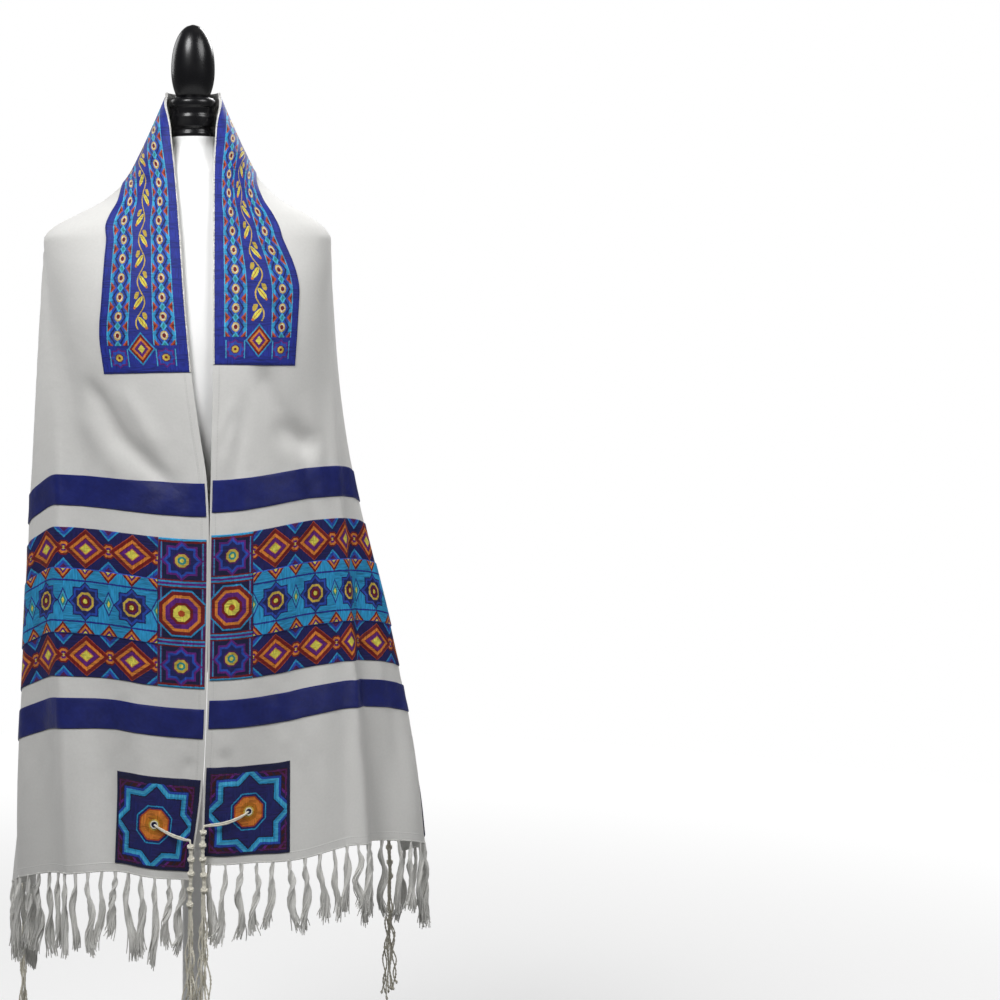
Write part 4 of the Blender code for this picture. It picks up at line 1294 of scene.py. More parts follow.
class Finishes:
    """Every finish of the shawl and its form, each made once, when it is first asked for."""

    @cached_property
    def cloth(self) -> Material:
        """Off-white twill with a narrow sewn hem, faint slubs, and soft wrinkles with painted shade.

        Returns:
            The material.
        """
        made = Finish("off_white_cloth", 0.82, Sheen_Weight=0.18, Sheen_Roughness=0.55)
        across, along, _ = made.parts(made.layout())
        edge = across.low(CUT.width - across).low(CUT.half_length - abs(along))
        warp = across.wave(0.00072)
        weft = along.wave(0.00072)
        twill = (across + along).wave(0.0016)
        weave = warp * weft * 0.5 + twill * 0.25
        slubs = made.noise(320.0, 3.0)
        wrinkle_relief_and_shade = made.noise(16.0, 3.0)
        fine = made.noise(60.0, 3.0)
        hem = 1.0 - edge.eased(0.0075, 0.0088)
        line = edge.near(0.0070, 0.00045)
        row = line * along.dashes(0.0030, 0.0011)
        column = line * across.dashes(0.0030, 0.0011)
        side = across.low(CUT.width - across).below(CUT.half_length - abs(along))
        stitched = row * side + column * (1.0 - side)
        # Painted shade: the wrinkle noise that raises the bump also lightens the colour on the raised parts and
        # darkens it in the hollows.
        light = slubs * 0.10 + wrinkle_relief_and_shade * 0.06 + weave * 0.03 + 0.90
        colour = made.scaled(PALETTE.white, light - stitched * 0.10)
        relief = weave * 0.10 + slubs * 0.12 + wrinkle_relief_and_shade * 2.2 + fine * 0.45 + hem * 0.35 - stitched * 0.45
        return made.close(colour, relief, 0.0012, 0.55)

    @cached_property
    def satin(self) -> Material:
        """Royal blue satin ribbon with fine crosswise ribs and a row of stitches at each edge.

        Returns:
            The material.
        """
        made = Finish("royal_satin", 0.38, Specular_IOR_Level=0.24)
        across, along, _ = made.parts(made.layout())
        up = CUT.half_length - abs(along)
        rows = (CUT.lower_rows, CUT.upper_rows)
        lower, upper = ((high - low) / 2 - abs(up - (low + high) / 2) for low, high in rows)
        edge = lower.high(upper)
        ribs = along.wave(0.0009)
        ripple_relief_and_sheen = made.noise(9.0, 2.0)
        slubs = made.noise(240.0, 4.0)
        crush_relief_and_sheen = made.noise(42.0, 3.0)
        stitched = edge.near(0.0020, 0.0005) * across.dashes(0.0032, 0.0012)
        # Painted sheen and shade: the streak and crush noises that shape the bump also lighten and darken the
        # colour.
        light = ribs * 0.07 + slubs * 0.60 + ripple_relief_and_sheen * 0.60 + crush_relief_and_sheen * 0.90 - 0.03
        colour = made.scaled(PALETTE.satin, light)
        colour = made.mixed(stitched * 0.5, colour, PALETTE.royal)
        relief = ribs * 0.12 + slubs * 0.30 + ripple_relief_and_sheen * 0.8 + crush_relief_and_sheen * 2.4 - stitched * 0.6
        relief = relief + edge.eased(0.0, 0.0024) * 0.3
        return made.close(colour, relief, 0.0008, 0.6, slubs * 0.22 + crush_relief_and_sheen * 0.16 + 0.20)

    @cached_property
    def band(self) -> Material:
        """Rows of nested lozenges, small octagons between them and half lozenges along the edges.

        Returns:
            The material.
        """
        made = ThreadWork("band_embroidery")
        x = made.across - CUT.block
        cx = x.from_nearest(CUT.repeat, CUT.repeat / 2)
        cy = abs(made.above_middle(CUT.band_rows)) - 0.0610
        ox = x.from_nearest(CUT.repeat)
        lozenge = abs(cx) / 0.0283 + abs(cy) / 0.0228
        small = abs(ox) / 0.0130 + abs(abs(cy) - 0.0240) / 0.0125
        _, octagon = star_metrics(ox, cy)
        p = PALETTE
        threads = nested(small, [(1.0, p.turquoise), (0.80, p.bright_blue), (0.45, p.plum)])
        threads += nested(octagon, [
            (0.0086, p.maroon), (0.0068, p.orange), (0.0042, p.purple), (0.0018, p.yellow),
        ])
        threads += nested(lozenge, [
            (1.00, p.rust), (0.96, p.maroon), (0.75, p.orange), (0.57, p.maroon), (0.52, p.purple),
            (0.31, p.orange), (0.26, p.yellow),
        ])
        return made.finished(p.violet_ground, threads, cx * cy)

    @cached_property
    def block(self) -> Material:
        """A stack of octagons and eight-pointed stars between narrow bars.

        Returns:
            The material.
        """
        made = ThreadWork("block_embroidery")
        x = made.from_side - (CUT.block + CUT.margin) / 2
        y = made.above_middle(CUT.band_rows)
        _, octagon = star_metrics(x, y)
        star, inner = star_metrics(x, abs(y) - 0.0600)
        bar = abs(abs(y) - 0.0335)
        p = PALETTE
        threads = [
            Thread(abs(x).above(0.0205), p.plum, 0.8),
            Thread(abs(x).near(0.0222, 0.0006), p.turquoise, 0.9),
            Thread(bar.below(0.0048), p.maroon, 0.8),
            Thread(bar.below(0.0031), p.turquoise, 0.9),
            Thread(bar.below(0.0013), p.purple, 1.0),
            Thread(abs(y).above(0.0800), p.maroon, 0.8),
            Thread(abs(y).above(0.0825), p.turquoise, 0.9),
        ]
        threads += nested(octagon, [
            (0.0265, p.turquoise), (0.0247, p.maroon), (0.0205, p.orange), (0.0172, p.purple),
            (0.0122, p.maroon), (0.0090, p.yellow), (0.0036, p.rust),
        ])
        threads += nested(star, [(0.0165, p.purple), (0.0143, p.bright_blue), (0.0118, p.royal)])
        threads += nested(inner, [(0.0092, p.plum), (0.0074, p.gold), (0.0046, p.teal), (0.0022, p.yellow)])
        return made.finished(p.navy, threads, x * y)

    @cached_property
    def ribbon(self) -> Material:
        """A turquoise ribbon with eight-pointed stars, narrow lozenges and a sawtooth border.

        Returns:
            The material.
        """
        made = ThreadWork("ribbon_embroidery")
        x = made.across - CUT.block
        cy = made.above_middle(CUT.ribbon_rows)
        cx = x.from_nearest(CUT.repeat, CUT.repeat / 2)
        ox = x.from_nearest(CUT.repeat)
        star, octagon = star_metrics(cx, cy)
        lozenge = abs(ox) / 0.0070 + abs(cy) / 0.0150
        edge = (CUT.ribbon_rows[1] - CUT.ribbon_rows[0]) / 2 - abs(cy)
        tooth = abs(x.from_nearest(CUT.repeat / 2)) / 0.0122 + edge / 0.0138
        p = PALETTE
        threads = [Thread(abs(cy).near(0.0232, 0.0010), p.royal_light, 0.9)]
        threads += nested(tooth, [(1.0, p.maroon), (0.76, p.orange), (0.52, p.purple), (0.30, p.yellow)])
        threads += nested(lozenge, [(1.0, p.royal_light), (0.78, p.sky), (0.52, p.teal), (0.26, p.yellow)])
        threads += nested(star, [(0.0160, p.royal), (0.0146, p.bright_blue), (0.0122, p.royal)])
        threads += nested(octagon, [(0.0104, p.gold), (0.0078, p.plum), (0.0052, p.maroon), (0.0026, p.yellow)])
        threads += [Thread(edge.below(0.0011), p.bright_blue, 0.6)]
        return made.finished(p.turquoise, threads, cx * cy)

    @cached_property
    def square(self) -> Material:
        """A corner square: an eight-pointed star in facets about a gold ring, with barred corners.

        Returns:
            The material.
        """
        made = ThreadWork("square_embroidery")
        x = made.from_side - CUT.eyelet_across
        y = made.from_hem - CUT.eyelet_up
        star, octagon = star_metrics(x, y)
        radius = x.distance(y)
        border = abs(x).high(abs(y))
        corner = (abs(x) + abs(y)) * math.sqrt(0.5)
        leaning = (abs(x) - abs(y)) * x * y
        p = PALETTE
        threads = [Thread(corner.above(limit), colour, height) for limit, colour, height in (
            (0.0430, p.purple, 0.7), (0.0455, p.wine, 0.9), (0.0500, p.navy, 0.6), (0.0515, p.wine, 0.9),
            (0.0560, p.plum, 0.7), (0.0585, p.wine, 0.9),
        )]
        threads += [Thread(border.near(0.0446, 0.0008), p.plum, 0.9)]
        threads += nested(star, [
            (0.0400, p.navy), (0.0388, p.bright_blue), (0.0362, p.sky), (0.0330, p.turquoise),
            (0.0308, p.navy), (0.0292, p.violet),
        ])
        threads += [Thread(star.below(0.0292) * leaning.above(0.0), p.royal, 0.9)]
        threads += nested(octagon, [
            (0.0214, p.turquoise), (0.0200, p.royal), (0.0176, p.rust), (0.0160, p.orange),
        ])
        threads += [
            Thread(radius.below(0.0108), p.amber, 1.1),
            Thread(radius.below(0.0064), p.gold, 1.2),
            # Painted shade: the navy disc inside the gold ring stands in for the dark inside of the eyelet's
            # hole.
            Thread(radius.below(0.0040), p.navy, 0.0),
            Thread(border.above(0.0462), p.navy, 0.8),
        ]
        return made.finished(p.navy, threads, leaning)

    @cached_property
    def neckband(self) -> Material:
        """The neckband: two turquoise rows of small motifs, with a gold leafy vine between them.

        Returns:
            The material.
        """
        made = ThreadWork("neckband_embroidery")
        x = made.across
        y = CUT.neckband_half - abs(made.along)
        middle, row_offset, row_half, pitch = 0.0535, 0.0278, 0.0125, 0.0224
        row = abs(x - middle) - row_offset
        within = y.above(0.0330)
        cy = y.from_nearest(pitch)
        oy = y.from_nearest(pitch, pitch / 2)
        oval = (row / 0.0044).distance(cy / 0.0056)
        lozenge = abs(row) / 0.0040 + abs(oy) / 0.0060
        tooth = (row_half - abs(row)) / 0.0064 + abs(oy) / 0.0074
        zigzag = abs(abs(row) - 0.0090 + abs(cy) * 0.62)
        p = PALETTE
        on_row = abs(row).below(row_half) * within
        threads = [
            Thread(on_row, p.turquoise, 0.7),
            Thread(abs(row).below(0.0088) * within, p.bright_blue, 0.8),
            Thread(zigzag.below(0.0011) * on_row, p.royal, 1.0),
        ]
        threads += nested(tooth, [(1.0, p.rust), (0.62, p.maroon)], on_row)
        threads += nested(lozenge, [(1.0, p.sky), (0.55, p.teal)], on_row)
        threads += nested(oval, [(1.0, p.gold), (0.76, p.cream), (0.50, p.maroon)], on_row)
        threads += [Thread(abs(row).near(row_half, 0.0006) * within, p.sky, 0.9)]
        threads += vine(x - middle, y)
        threads += neckband_end(x - middle, y, row)
        edge = x.low(CUT.neckband_width - x).low(y)
        seam = edge.near(0.0018, 0.0004) * made.along.dashes(0.0032, 0.0012).high(edge.above(0.0030))
        threads += [Thread(seam, p.royal, -0.4), Thread(x.below(0.0016), p.white, 1.2)]
        return made.finished(p.royal_light, threads, row * cy)

    @staticmethod
    def plied(name: str, dye: Colour) -> Material:
        """Soft plied yarn.

        Args:
            name: the material's name.
            dye: the yarn's colour.

        Returns:
            The material.
        """
        made = Finish(name, 0.78, Sheen_Weight=0.20, Sheen_Roughness=0.5)
        fibres = made.noise(900.0, 3.0, flat=False)
        broad = made.noise(60.0, 2.0, flat=False)
        light = fibres * 0.28 + broad * 0.16 + 0.76
        return made.close(made.scaled(dye, light), fibres, 0.0006, 0.6)

    @cached_property
    def yarn(self) -> Material:
        """The fringe's white yarn."""
        return self.plied("white_yarn", PALETTE.yarn)

    @cached_property
    def wool(self) -> Material:
        """The tassels' cream wool."""
        return self.plied("cream_wool", PALETTE.wool)

    @cached_property
    def cover(self) -> Material:
        """Fine white jersey stretched over the form.

        Returns:
            The material.
        """
        made = Finish("white_jersey", 0.80, Sheen_Weight=0.15, Sheen_Roughness=0.5)
        x, y, z = made.parts(made.position())
        wales = (x + y * 0.6).wave(0.0011)
        courses = z.wave(0.0009)
        mottle = made.noise(25.0, 2.0, flat=False)
        colour = made.scaled(PALETTE.jersey, mottle * 0.05 + wales * courses * 0.015 + 0.965)
        return made.close(colour, wales * courses * 0.3 + mottle * 0.4, 0.0005, 0.4)

    @cached_property
    def lacquer(self) -> Material:
        """Black lacquer over turned wood, with faint rings and rubbed patches.

        Returns:
            The material.
        """
        made = Finish("black_lacquer", 0.28, Coat_Weight=0.12, Coat_Roughness=0.15, Specular_IOR_Level=0.3)
        z = made.parts(made.position())[2]
        rings = z.wave(0.0013)
        rubbed = made.noise(38.0, 4.0, flat=False)
        speck = made.noise(420.0, 2.0, flat=False)
        colour = made.mixed(rubbed.eased(0.55, 0.8) * 0.5, PALETTE.lacquer, (0.022, 0.021, 0.021))
        return made.close(colour, rings * 0.05 + speck * 0.18, 0.0004, 0.25, rubbed * 0.20 + 0.18)

    @cached_property
    def powder(self) -> Material:
        """White powder-coated steel with a fine orange-peel surface.

        Returns:
            The material.
        """
        made = Finish("white_powder_coat", 0.42)
        peel = made.noise(520.0, 2.0, flat=False)
        dust = made.noise(9.0, 3.0, flat=False)
        colour = made.scaled(PALETTE.powder, dust * 0.06 + 0.955)
        return made.close(colour, peel, 0.0004, 0.3, dust * 0.14 + 0.36)


# The shawl


@dataclass
class ShawlCloth:
    """The off-white cloth itself."""

    rows: int = 470
    columns: int = 96
    finish: Material | None = None

    def build(self) -> Piece:
        """Drapes the cloth.

        Returns:
            The shawl's body.
        """
        across = np.linspace(0.0, CUT.width, self.columns + 1)
        along = np.linspace(-CUT.half_length, CUT.half_length, self.rows + 1)
        piece = Workbench.cloth("cloth_of_shawl", along, across, 0.0, CUT.wall, 0.0)
        return place(piece, self.finish, Slot.CLOTH, "shawl_body")


@dataclass
class SewnPanel:
    """A flat piece that is sewn on the cloth."""

    name: str
    along: tuple[float, float]
    across: tuple[float, float]
    layer: int
    finish: Material
    slot: Slot
    node: str
    grid: float = 0.0036
    roll: float = 0.0016
    sunk: float = 0.85
    wall_share: float = 0.7

    def stations(self, low: float, high: float) -> Array:
        """Stations from one edge to the other, close together where the edges roll over.

        Args:
            low: one edge.
            high: the other edge.

        Returns:
            The stations, rising.
        """
        near = np.array([0.0, 0.25, 0.55, 1.0]) * self.roll
        count = max(2, math.ceil((high - low - 2 * self.roll) / self.grid))
        inner = np.linspace(low + self.roll, high - self.roll, count + 1)[1:-1]
        return np.concatenate((low + near, inner, high - near[::-1]))

    def build(self) -> Piece:
        """Lays the panel on the cloth, with its edges rolled down to it.

        Returns:
            The panel.
        """
        inset = CUT.seam / 2
        along = self.stations(self.along[0] + inset, self.along[1] - inset)
        across = self.stations(self.across[0] + inset, self.across[1] - inset)
        a, c = along[:, None], across[None]
        near_ends = np.minimum(a - along[0], along[-1] - a)
        edge = np.minimum(near_ends, np.minimum(c - across[0], across[-1] - c))
        top = CUT.wall / 2 + self.layer * (CUT.seam + CUT.patch)
        rise = np.sqrt(np.clip(1.0 - (1.0 - np.clip(edge / self.roll, 0.0, 1.0)) ** 2, 0.0, 1.0))
        lift = top - CUT.patch * self.sunk * (1.0 - rise)
        piece = Workbench.cloth(self.name, along, across, lift, CUT.patch * self.wall_share, -1.0)
        return place(piece, self.finish, self.slot, self.node)


@dataclass
class SewnPanels:
    """Stripes, bands, ribbons, squares and neckband."""

    finishes: Finishes

    def end_pieces(self, side: Side) -> list[SewnPanel]:
        """The panels of one end of the shawl.

        Args:
            side: the end in hand.

        Returns:
            The panels, not yet built.
        """
        f = self.finishes
        inner, outer = CUT.margin, CUT.width - CUT.margin
        whole, middle = (inner, outer), (CUT.block, CUT.width - CUT.block)
        front_block, rear_block = (inner, CUT.block), (CUT.width - CUT.block, outer)
        front_square, rear_square = (inner, CUT.square), (CUT.width - CUT.square, outer)
        plan = (
            ("upper_stripe", CUT.upper_rows, whole, 1, f.satin, Slot.SATIN),
            ("lower_stripe", CUT.lower_rows, whole, 1, f.satin, Slot.SATIN),
            ("band", CUT.band_rows, middle, 1, f.band, Slot.EMBROIDERY),
            ("band_front_block", CUT.band_rows, front_block, 1, f.block, Slot.EMBROIDERY),
            ("band_rear_block", CUT.band_rows, rear_block, 1, f.block, Slot.EMBROIDERY),
            ("ribbon", CUT.ribbon_rows, middle, 2, f.ribbon, Slot.BRAID),
            ("front_square", CUT.square_rows, front_square, 1, f.square, Slot.EMBROIDERY),
            ("rear_square", CUT.square_rows, rear_square, 1, f.square, Slot.EMBROIDERY),
        )
        panels = []
        for name, rows, across, layer, finish, slot in plan:
            ends = sorted(side.value * (CUT.half_length - row) for row in rows)
            node = f"{name}_{side.word}"
            panels.append(SewnPanel(f"sewn_{node}", tuple(ends), across, layer, finish, slot, node))
        return panels

    def build(self) -> list[Piece]:
        """Builds every panel.

        Returns:
            The panels.
        """
        half = CUT.neckband_half
        neckband = SewnPanel("sewn_neckband", (-half, half), (0.0, CUT.neckband_width), 1,
                             self.finishes.neckband, Slot.SATIN, "neckband")
        panels = [neckband, *self.end_pieces(Side.RIGHT), *self.end_pieces(Side.LEFT)]
        return [panel.build() for panel in panels]


@dataclass
class Fringe:
    """The twisted fringe of both ends: for each lock two soft plies, wrapped in yarns that end loose."""

    finish: Material
    ply_radius: float = 0.0023
    turns: tuple[float, float] = (0.7, 1.7)
    strand_rings: int = 30
    yarns: int = 13
    wisps: int = 9
    yarn_radius: float = 0.00090
    seed: int = 900
    lengths: tuple[float, float] = (0.92, 1.24)
    sway: float = 0.0090
    waves: tuple[float, float] = (0.0012, 0.0040)

    def lock_path(self, root: Array, out: Array, run: Array, rng: np.random.Generator) -> Array:
        """The middle line of one lock, from its root straight down with soft waves and a little sway.

        Args:
            root: the middle of the lock's root.
            out: the direction out of the cloth.
            run: the direction along the hem.
            rng: the lock's own random numbers.

        Returns:
            Points of the line.
        """
        length = CUT.fringe_length * rng.uniform(*self.lengths)
        u = np.linspace(0.0, 1.0, self.strand_rings)
        sway = rng.uniform(-self.sway, self.sway) * u**1.4
        waves = rng.uniform(*self.waves) * np.sin(u * rng.uniform(5.0, 10.0) + rng.uniform(0, 6.3))
        lean = rng.uniform(-0.0015, 0.0020) * u + 0.0012 * np.sin(u * rng.uniform(4.0, 8.0)) * u
        sideways = sway + waves * ramp(u, 0.0, 0.3)
        path = root[None] + run[None] * sideways[:, None] + out[None] * lean[:, None]
        path[:, 2] -= length * u
        return path

    def lock(self, root: Array, out: Array, run: Array, rng: np.random.Generator) -> list[Piece]:
        """One lock: two plies and their yarns, twisted near the hem and hanging side by side lower down.

        Args:
            root: the middle of the lock's root.
            out: the direction out of the cloth.
            run: the direction along the hem.
            rng: the lock's own random numbers.

        Returns:
            The lock's pieces.
        """
        path = self.lock_path(root, out, run, rng)
        u = np.linspace(0.0, 1.0, self.strand_rings)
        loosened = rng.uniform(0.70, 0.90)
        twist = 2 * math.pi * rng.uniform(*self.turns) * (1.0 - (1.0 - u) ** 2) + rng.uniform(0.0, 6.3)
        body = self.ply_radius * rng.uniform(0.85, 1.2) * (0.50 + 0.50 * ramp(u, 0.05, 0.40))
        body = body * (1.0 + 0.10 * np.sin(rng.uniform(9.0, 14.0) * u))

        def beside(first: int, wide: Array, deep: Array) -> Array:
            """The lock's line from one ring on, moved sideways in its own twisting frame.

            Args:
                first: the ring to start from.
                wide: how far to the side, at each ring.
                deep: how far out, at each ring.

            Returns:
                Points of the line.
            """
            cosine, sine = np.cos(twist[first:]), np.sin(twist[first:])
            aside, ahead = wide * cosine - deep * sine, wide * sine + deep * cosine
            return path[first:] + run * aside[:, None] + out * ahead[:, None]

        pieces = []
        for hand in (-1.0, 1.0):
            radius = body * (1.0 - 0.65 * ramp(u, loosened, 1.0 - loosened))
            pieces.append(Workbench.tube(beside(0, hand * 0.72 * body, 0.0 * body), radius, 6))
        for number in range(self.yarns + self.wisps):
            loose = number >= self.yarns
            first = int(self.strand_rings * (loosened - 0.12 if loose else rng.uniform(0.08, 0.45)))
            v = np.linspace(0.0, 1.0, self.strand_rings - first)
            bearing = rng.uniform(0.0, 6.3)
            flare = 1.0 + rng.uniform(-0.5, 0.9) * v**2
            crimp = 0.0005 * np.sin(v * rng.uniform(8.0, 16.0) + bearing)
            wide = 1.60 * math.cos(bearing) * body[first:] * flare + crimp
            deep = 0.90 * math.sin(bearing) * body[first:] * flare
            tail = beside(first, wide, deep)
            stray = rng.uniform(-0.0055, 0.0055) if loose else rng.uniform(-0.0022, 0.0022)
            tail += run * (stray * v**1.5)[:, None]
            tail[:, 2] -= rng.uniform(-0.008, 0.006) * v
            radius = self.yarn_radius * (0.55 + 0.45 * ramp(v, 0.0, 0.2)) * (1.0 - 0.45 * v)
            pieces.append(Workbench.tube(tail, radius, 4))
        return pieces

    def hem_frame(self, side: Side, across: Array) -> tuple[Array, Array, Array]:
        """Points just under the hem, with the directions out of the cloth and along the hem.

        Args:
            side: the end in hand.
            across: across lengths, of shape (n,).

        Returns:
            The points, then the two directions.
        """
        along = np.full_like(across, side.value * CUT.half_length)
        points = DRAPE.surface(along, across)
        above = DRAPE.surface(along - side.value * 0.004, across)
        down = points - above
        down /= np.linalg.norm(down, axis=1, keepdims=True)
        out = DRAPE.normals(DRAPE.surface, along - side.value * 0.002, across)
        run = np.cross(out, down)
        return points + down * CUT.seam, out, run

    def build(self) -> list[Piece]:
        """Builds both fringes.

        Returns:
            The two fringes, each one joined piece.
        """
        made = []
        spacing = CUT.width / CUT.fringe_strands
        for side in Side:
            across = (np.arange(CUT.fringe_strands) + 0.5) * spacing
            pieces = [self.overcast_edge(side)]
            for number, (root, out, run) in enumerate(zip(*self.hem_frame(side, across))):
                rng = np.random.default_rng(self.seed + number + 100 * side.value)
                pieces += self.lock(root, out, run, rng)
            fringe = Workbench.join(f"twisted_fringe_{side.word}", pieces)
            made.append(place(fringe, self.finish, Slot.YARN, f"fringe_{side.word}"))
        return made

    def overcast_edge(self, side: Side) -> Piece:
        """The rolled, overcast edge that the locks hang from.

        Args:
            side: the end in hand.

        Returns:
            The piece.
        """
        across = np.linspace(0.0, CUT.width, 260)
        points, _, _ = self.hem_frame(side, across)
        points[:, 2] -= 0.0007
        wraps = 1.0 + 0.16 * np.sin(2 * np.pi * across / 0.0042)
        return Workbench.tube(points, 0.0011 * wraps, 8)


@dataclass
class CornerTassel:
    """A corner tassel: doubled cord from the eyelet, wound and knotted head, eight free strands."""

    side: Side
    at_front: bool
    finish: Material
    cord: float = 0.00110
    head: float = 0.072
    free: float = 0.150
    head_rings: int = 60
    loop_rings: int = 21
    loop_radius: float = 0.0032
    strands: int = 8
    strand_rings: int = 34
    strand_turns: int = 15
    strand_radius: float = 0.00074
    ply_offset: float = 0.0006
    eyelet_radius: float = 0.0040

    def on_cloth(self, inward: Array, up: Array, height: Array) -> Array:
        """Points above the cloth near the corner, from its edge and its hem."""
        across = np.clip(inward if self.at_front else CUT.width - inward, 0.0, CUT.width)
        return DRAPE.sheet(self.side.value * (CUT.half_length - up), across, height)

    def cord_line(self, shift: float) -> Array:
        """The cord's middle line from the eyelet to where it drops, moved a little to one side.

        Args:
            shift: how far up the cloth the cord bows.

        Returns:
            Points of the line.
        """
        u = np.linspace(0.0, 1.0, 22)
        lift = CUT.patch_top + self.cord
        reach = (0.0050 if self.side is Side.LEFT else 0.0020) if self.at_front else -0.0040
        stand_off = 0.0100 if self.at_front else lift + 0.0016
        up = CUT.tassel_up + (CUT.eyelet_up - CUT.tassel_up) * (1 - u) ** 2
        up = up + shift * np.sin(np.pi * u * 0.9)
        inward = CUT.eyelet_across + (reach - CUT.eyelet_across) * u
        height = (lift - 0.002) + 0.002 * ramp(u, 0.0, 0.08) + (stand_off - lift) * u
        line = self.on_cloth(np.maximum(inward, 0.0), up, height)
        beyond = line[-1] - self.on_cloth(np.array([0.010]), up[-1:], height[-1:])[0]
        line += beyond[None] * (0.25 * ramp(u, 0.85, 0.15) * (reach < 0))[:, None]
        return line

    def top(self) -> tuple[Array, Array, Array]:
        """The head's top, and the directions out of and along the cloth there.

        Returns:
            The point, then the two directions.
        """
        line = self.cord_line(0.0)
        run = line[-1] - line[-4]
        run[2] = 0.0
        run /= np.linalg.norm(run)
        out = np.array([-run[1], run[0], 0.0])
        if out[1] > 0 and self.at_front:
            out = -out
        return line[-1] + run * 0.0008 - UP * 0.0045, out, run

    def head_pieces(self) -> list[Piece]:
        """The wound core, its windings and its knots.

        Returns:
            The pieces.
        """
        top, out, run = self.top()
        u = np.linspace(0.0, 1.0, self.head_rings)
        knots = np.array([0.04, 0.24, 0.47, 0.72, 0.95])
        proud = sum(np.exp(-(((u - k) * self.head / 0.0030) ** 2)) for k in knots)
        radius = 0.0021 + 0.0013 * proud + 0.00022 * np.sin(2 * np.pi * u * self.head / 0.0016)
        wander = 0.0008 * np.sin(5.0 * u)
        path = top[None] + run * wander[:, None] - UP * (u * self.head)[:, None]
        pieces = [Workbench.tube(path, radius, 14)]
        for knot in knots:
            for lean in (-0.6, 0.6):
                angle = np.linspace(0.0, 2 * np.pi, self.loop_rings)
                middle = path[int(knot * (self.head_rings - 1))]
                loop = middle[None] + run * (np.cos(angle) * self.loop_radius)[:, None]
                loop = loop + out * (np.sin(angle) * self.loop_radius)[:, None]
                loop[:, 2] += np.cos(angle + lean) * 0.0013 * np.sign(lean)
                pieces.append(Workbench.tube(loop, np.full(self.loop_rings, 0.00095), 6))
        return pieces

    def strand_pieces(self) -> list[Piece]:
        """Eight free strands below the head, each of two twisted plies.

        Returns:
            The pieces.
        """
        top, out, run = self.top()
        start = top - UP * self.head
        rng = np.random.default_rng(40 + 7 * self.side.value + 3 * self.at_front)
        pieces = []
        for number in range(self.strands):
            bearing = 2 * np.pi * (number + 0.5) / self.strands
            outward = run * math.cos(bearing) + out * math.sin(bearing) * 0.7
            u = np.linspace(0.0, 1.0, self.strand_rings)
            length = self.free * rng.uniform(0.80, 1.0)
            spread = 0.0014 + rng.uniform(0.002, 0.0075) * ramp(u, 0.0, 1.0)
            wave = 0.0024 * np.sin(rng.uniform(14, 26) * u + rng.uniform(0, 6.3)) * ramp(u, 0.0, 0.4)
            path = start[None] + outward[None] * (spread + wave)[:, None]
            path[:, 2] -= length * u
            for ply in (0.0, math.pi):
                twist = ply + 2 * np.pi * self.strand_turns * u * length / self.free
                line = path + run * (np.cos(twist) * self.ply_offset)[:, None]
                line = line + out * (np.sin(twist) * self.ply_offset)[:, None]
                radii = np.full(self.strand_rings, self.strand_radius)
                pieces.append(Workbench.tube(line, radii, 5))
            end = path[-1] + UP * 0.004
            knot = end[None] - UP * np.linspace(0.0, 0.0035, 5)[:, None]
            pieces.append(Workbench.tube(knot, np.array([0.0007, 0.0015, 0.0017, 0.0014, 0.0006]), 7))
        return pieces

    def build(self) -> Piece:
        """Builds the tassel.

        Returns:
            The tassel, as one joined piece.
        """
        pieces = self.head_pieces() + self.strand_pieces()
        for shift in (-0.0010, 0.0010):
            line = self.cord_line(shift)
            joined = np.concatenate((line, [self.top()[0]]))
            wraps = 1.0 + 0.14 * np.sin(np.arange(len(joined)) * 1.9)
            pieces.append(Workbench.tube(joined, self.cord * wraps, 8))
        pieces.append(self.eyelet())
        word = "front" if self.at_front else "rear"
        node = f"tassel_{word}_{self.side.word}"
        return place(Workbench.join(f"knotted_{node}", pieces), self.finish, Slot.YARN, node)

    def eyelet(self) -> Piece:
        """The buttonhole-stitched ring around the eyelet.

        Returns:
            The piece.
        """
        angle = np.linspace(0.0, 2 * np.pi, 33)
        inward = CUT.eyelet_across + self.eyelet_radius * np.cos(angle)
        up = CUT.eyelet_up + self.eyelet_radius * np.sin(angle)
        ring = self.on_cloth(inward, up, np.full_like(angle, CUT.patch_top + 0.0003))
        return Workbench.tube(ring, 0.0007 * (1 + 0.12 * np.sin(angle * 16)), 6)


# The form


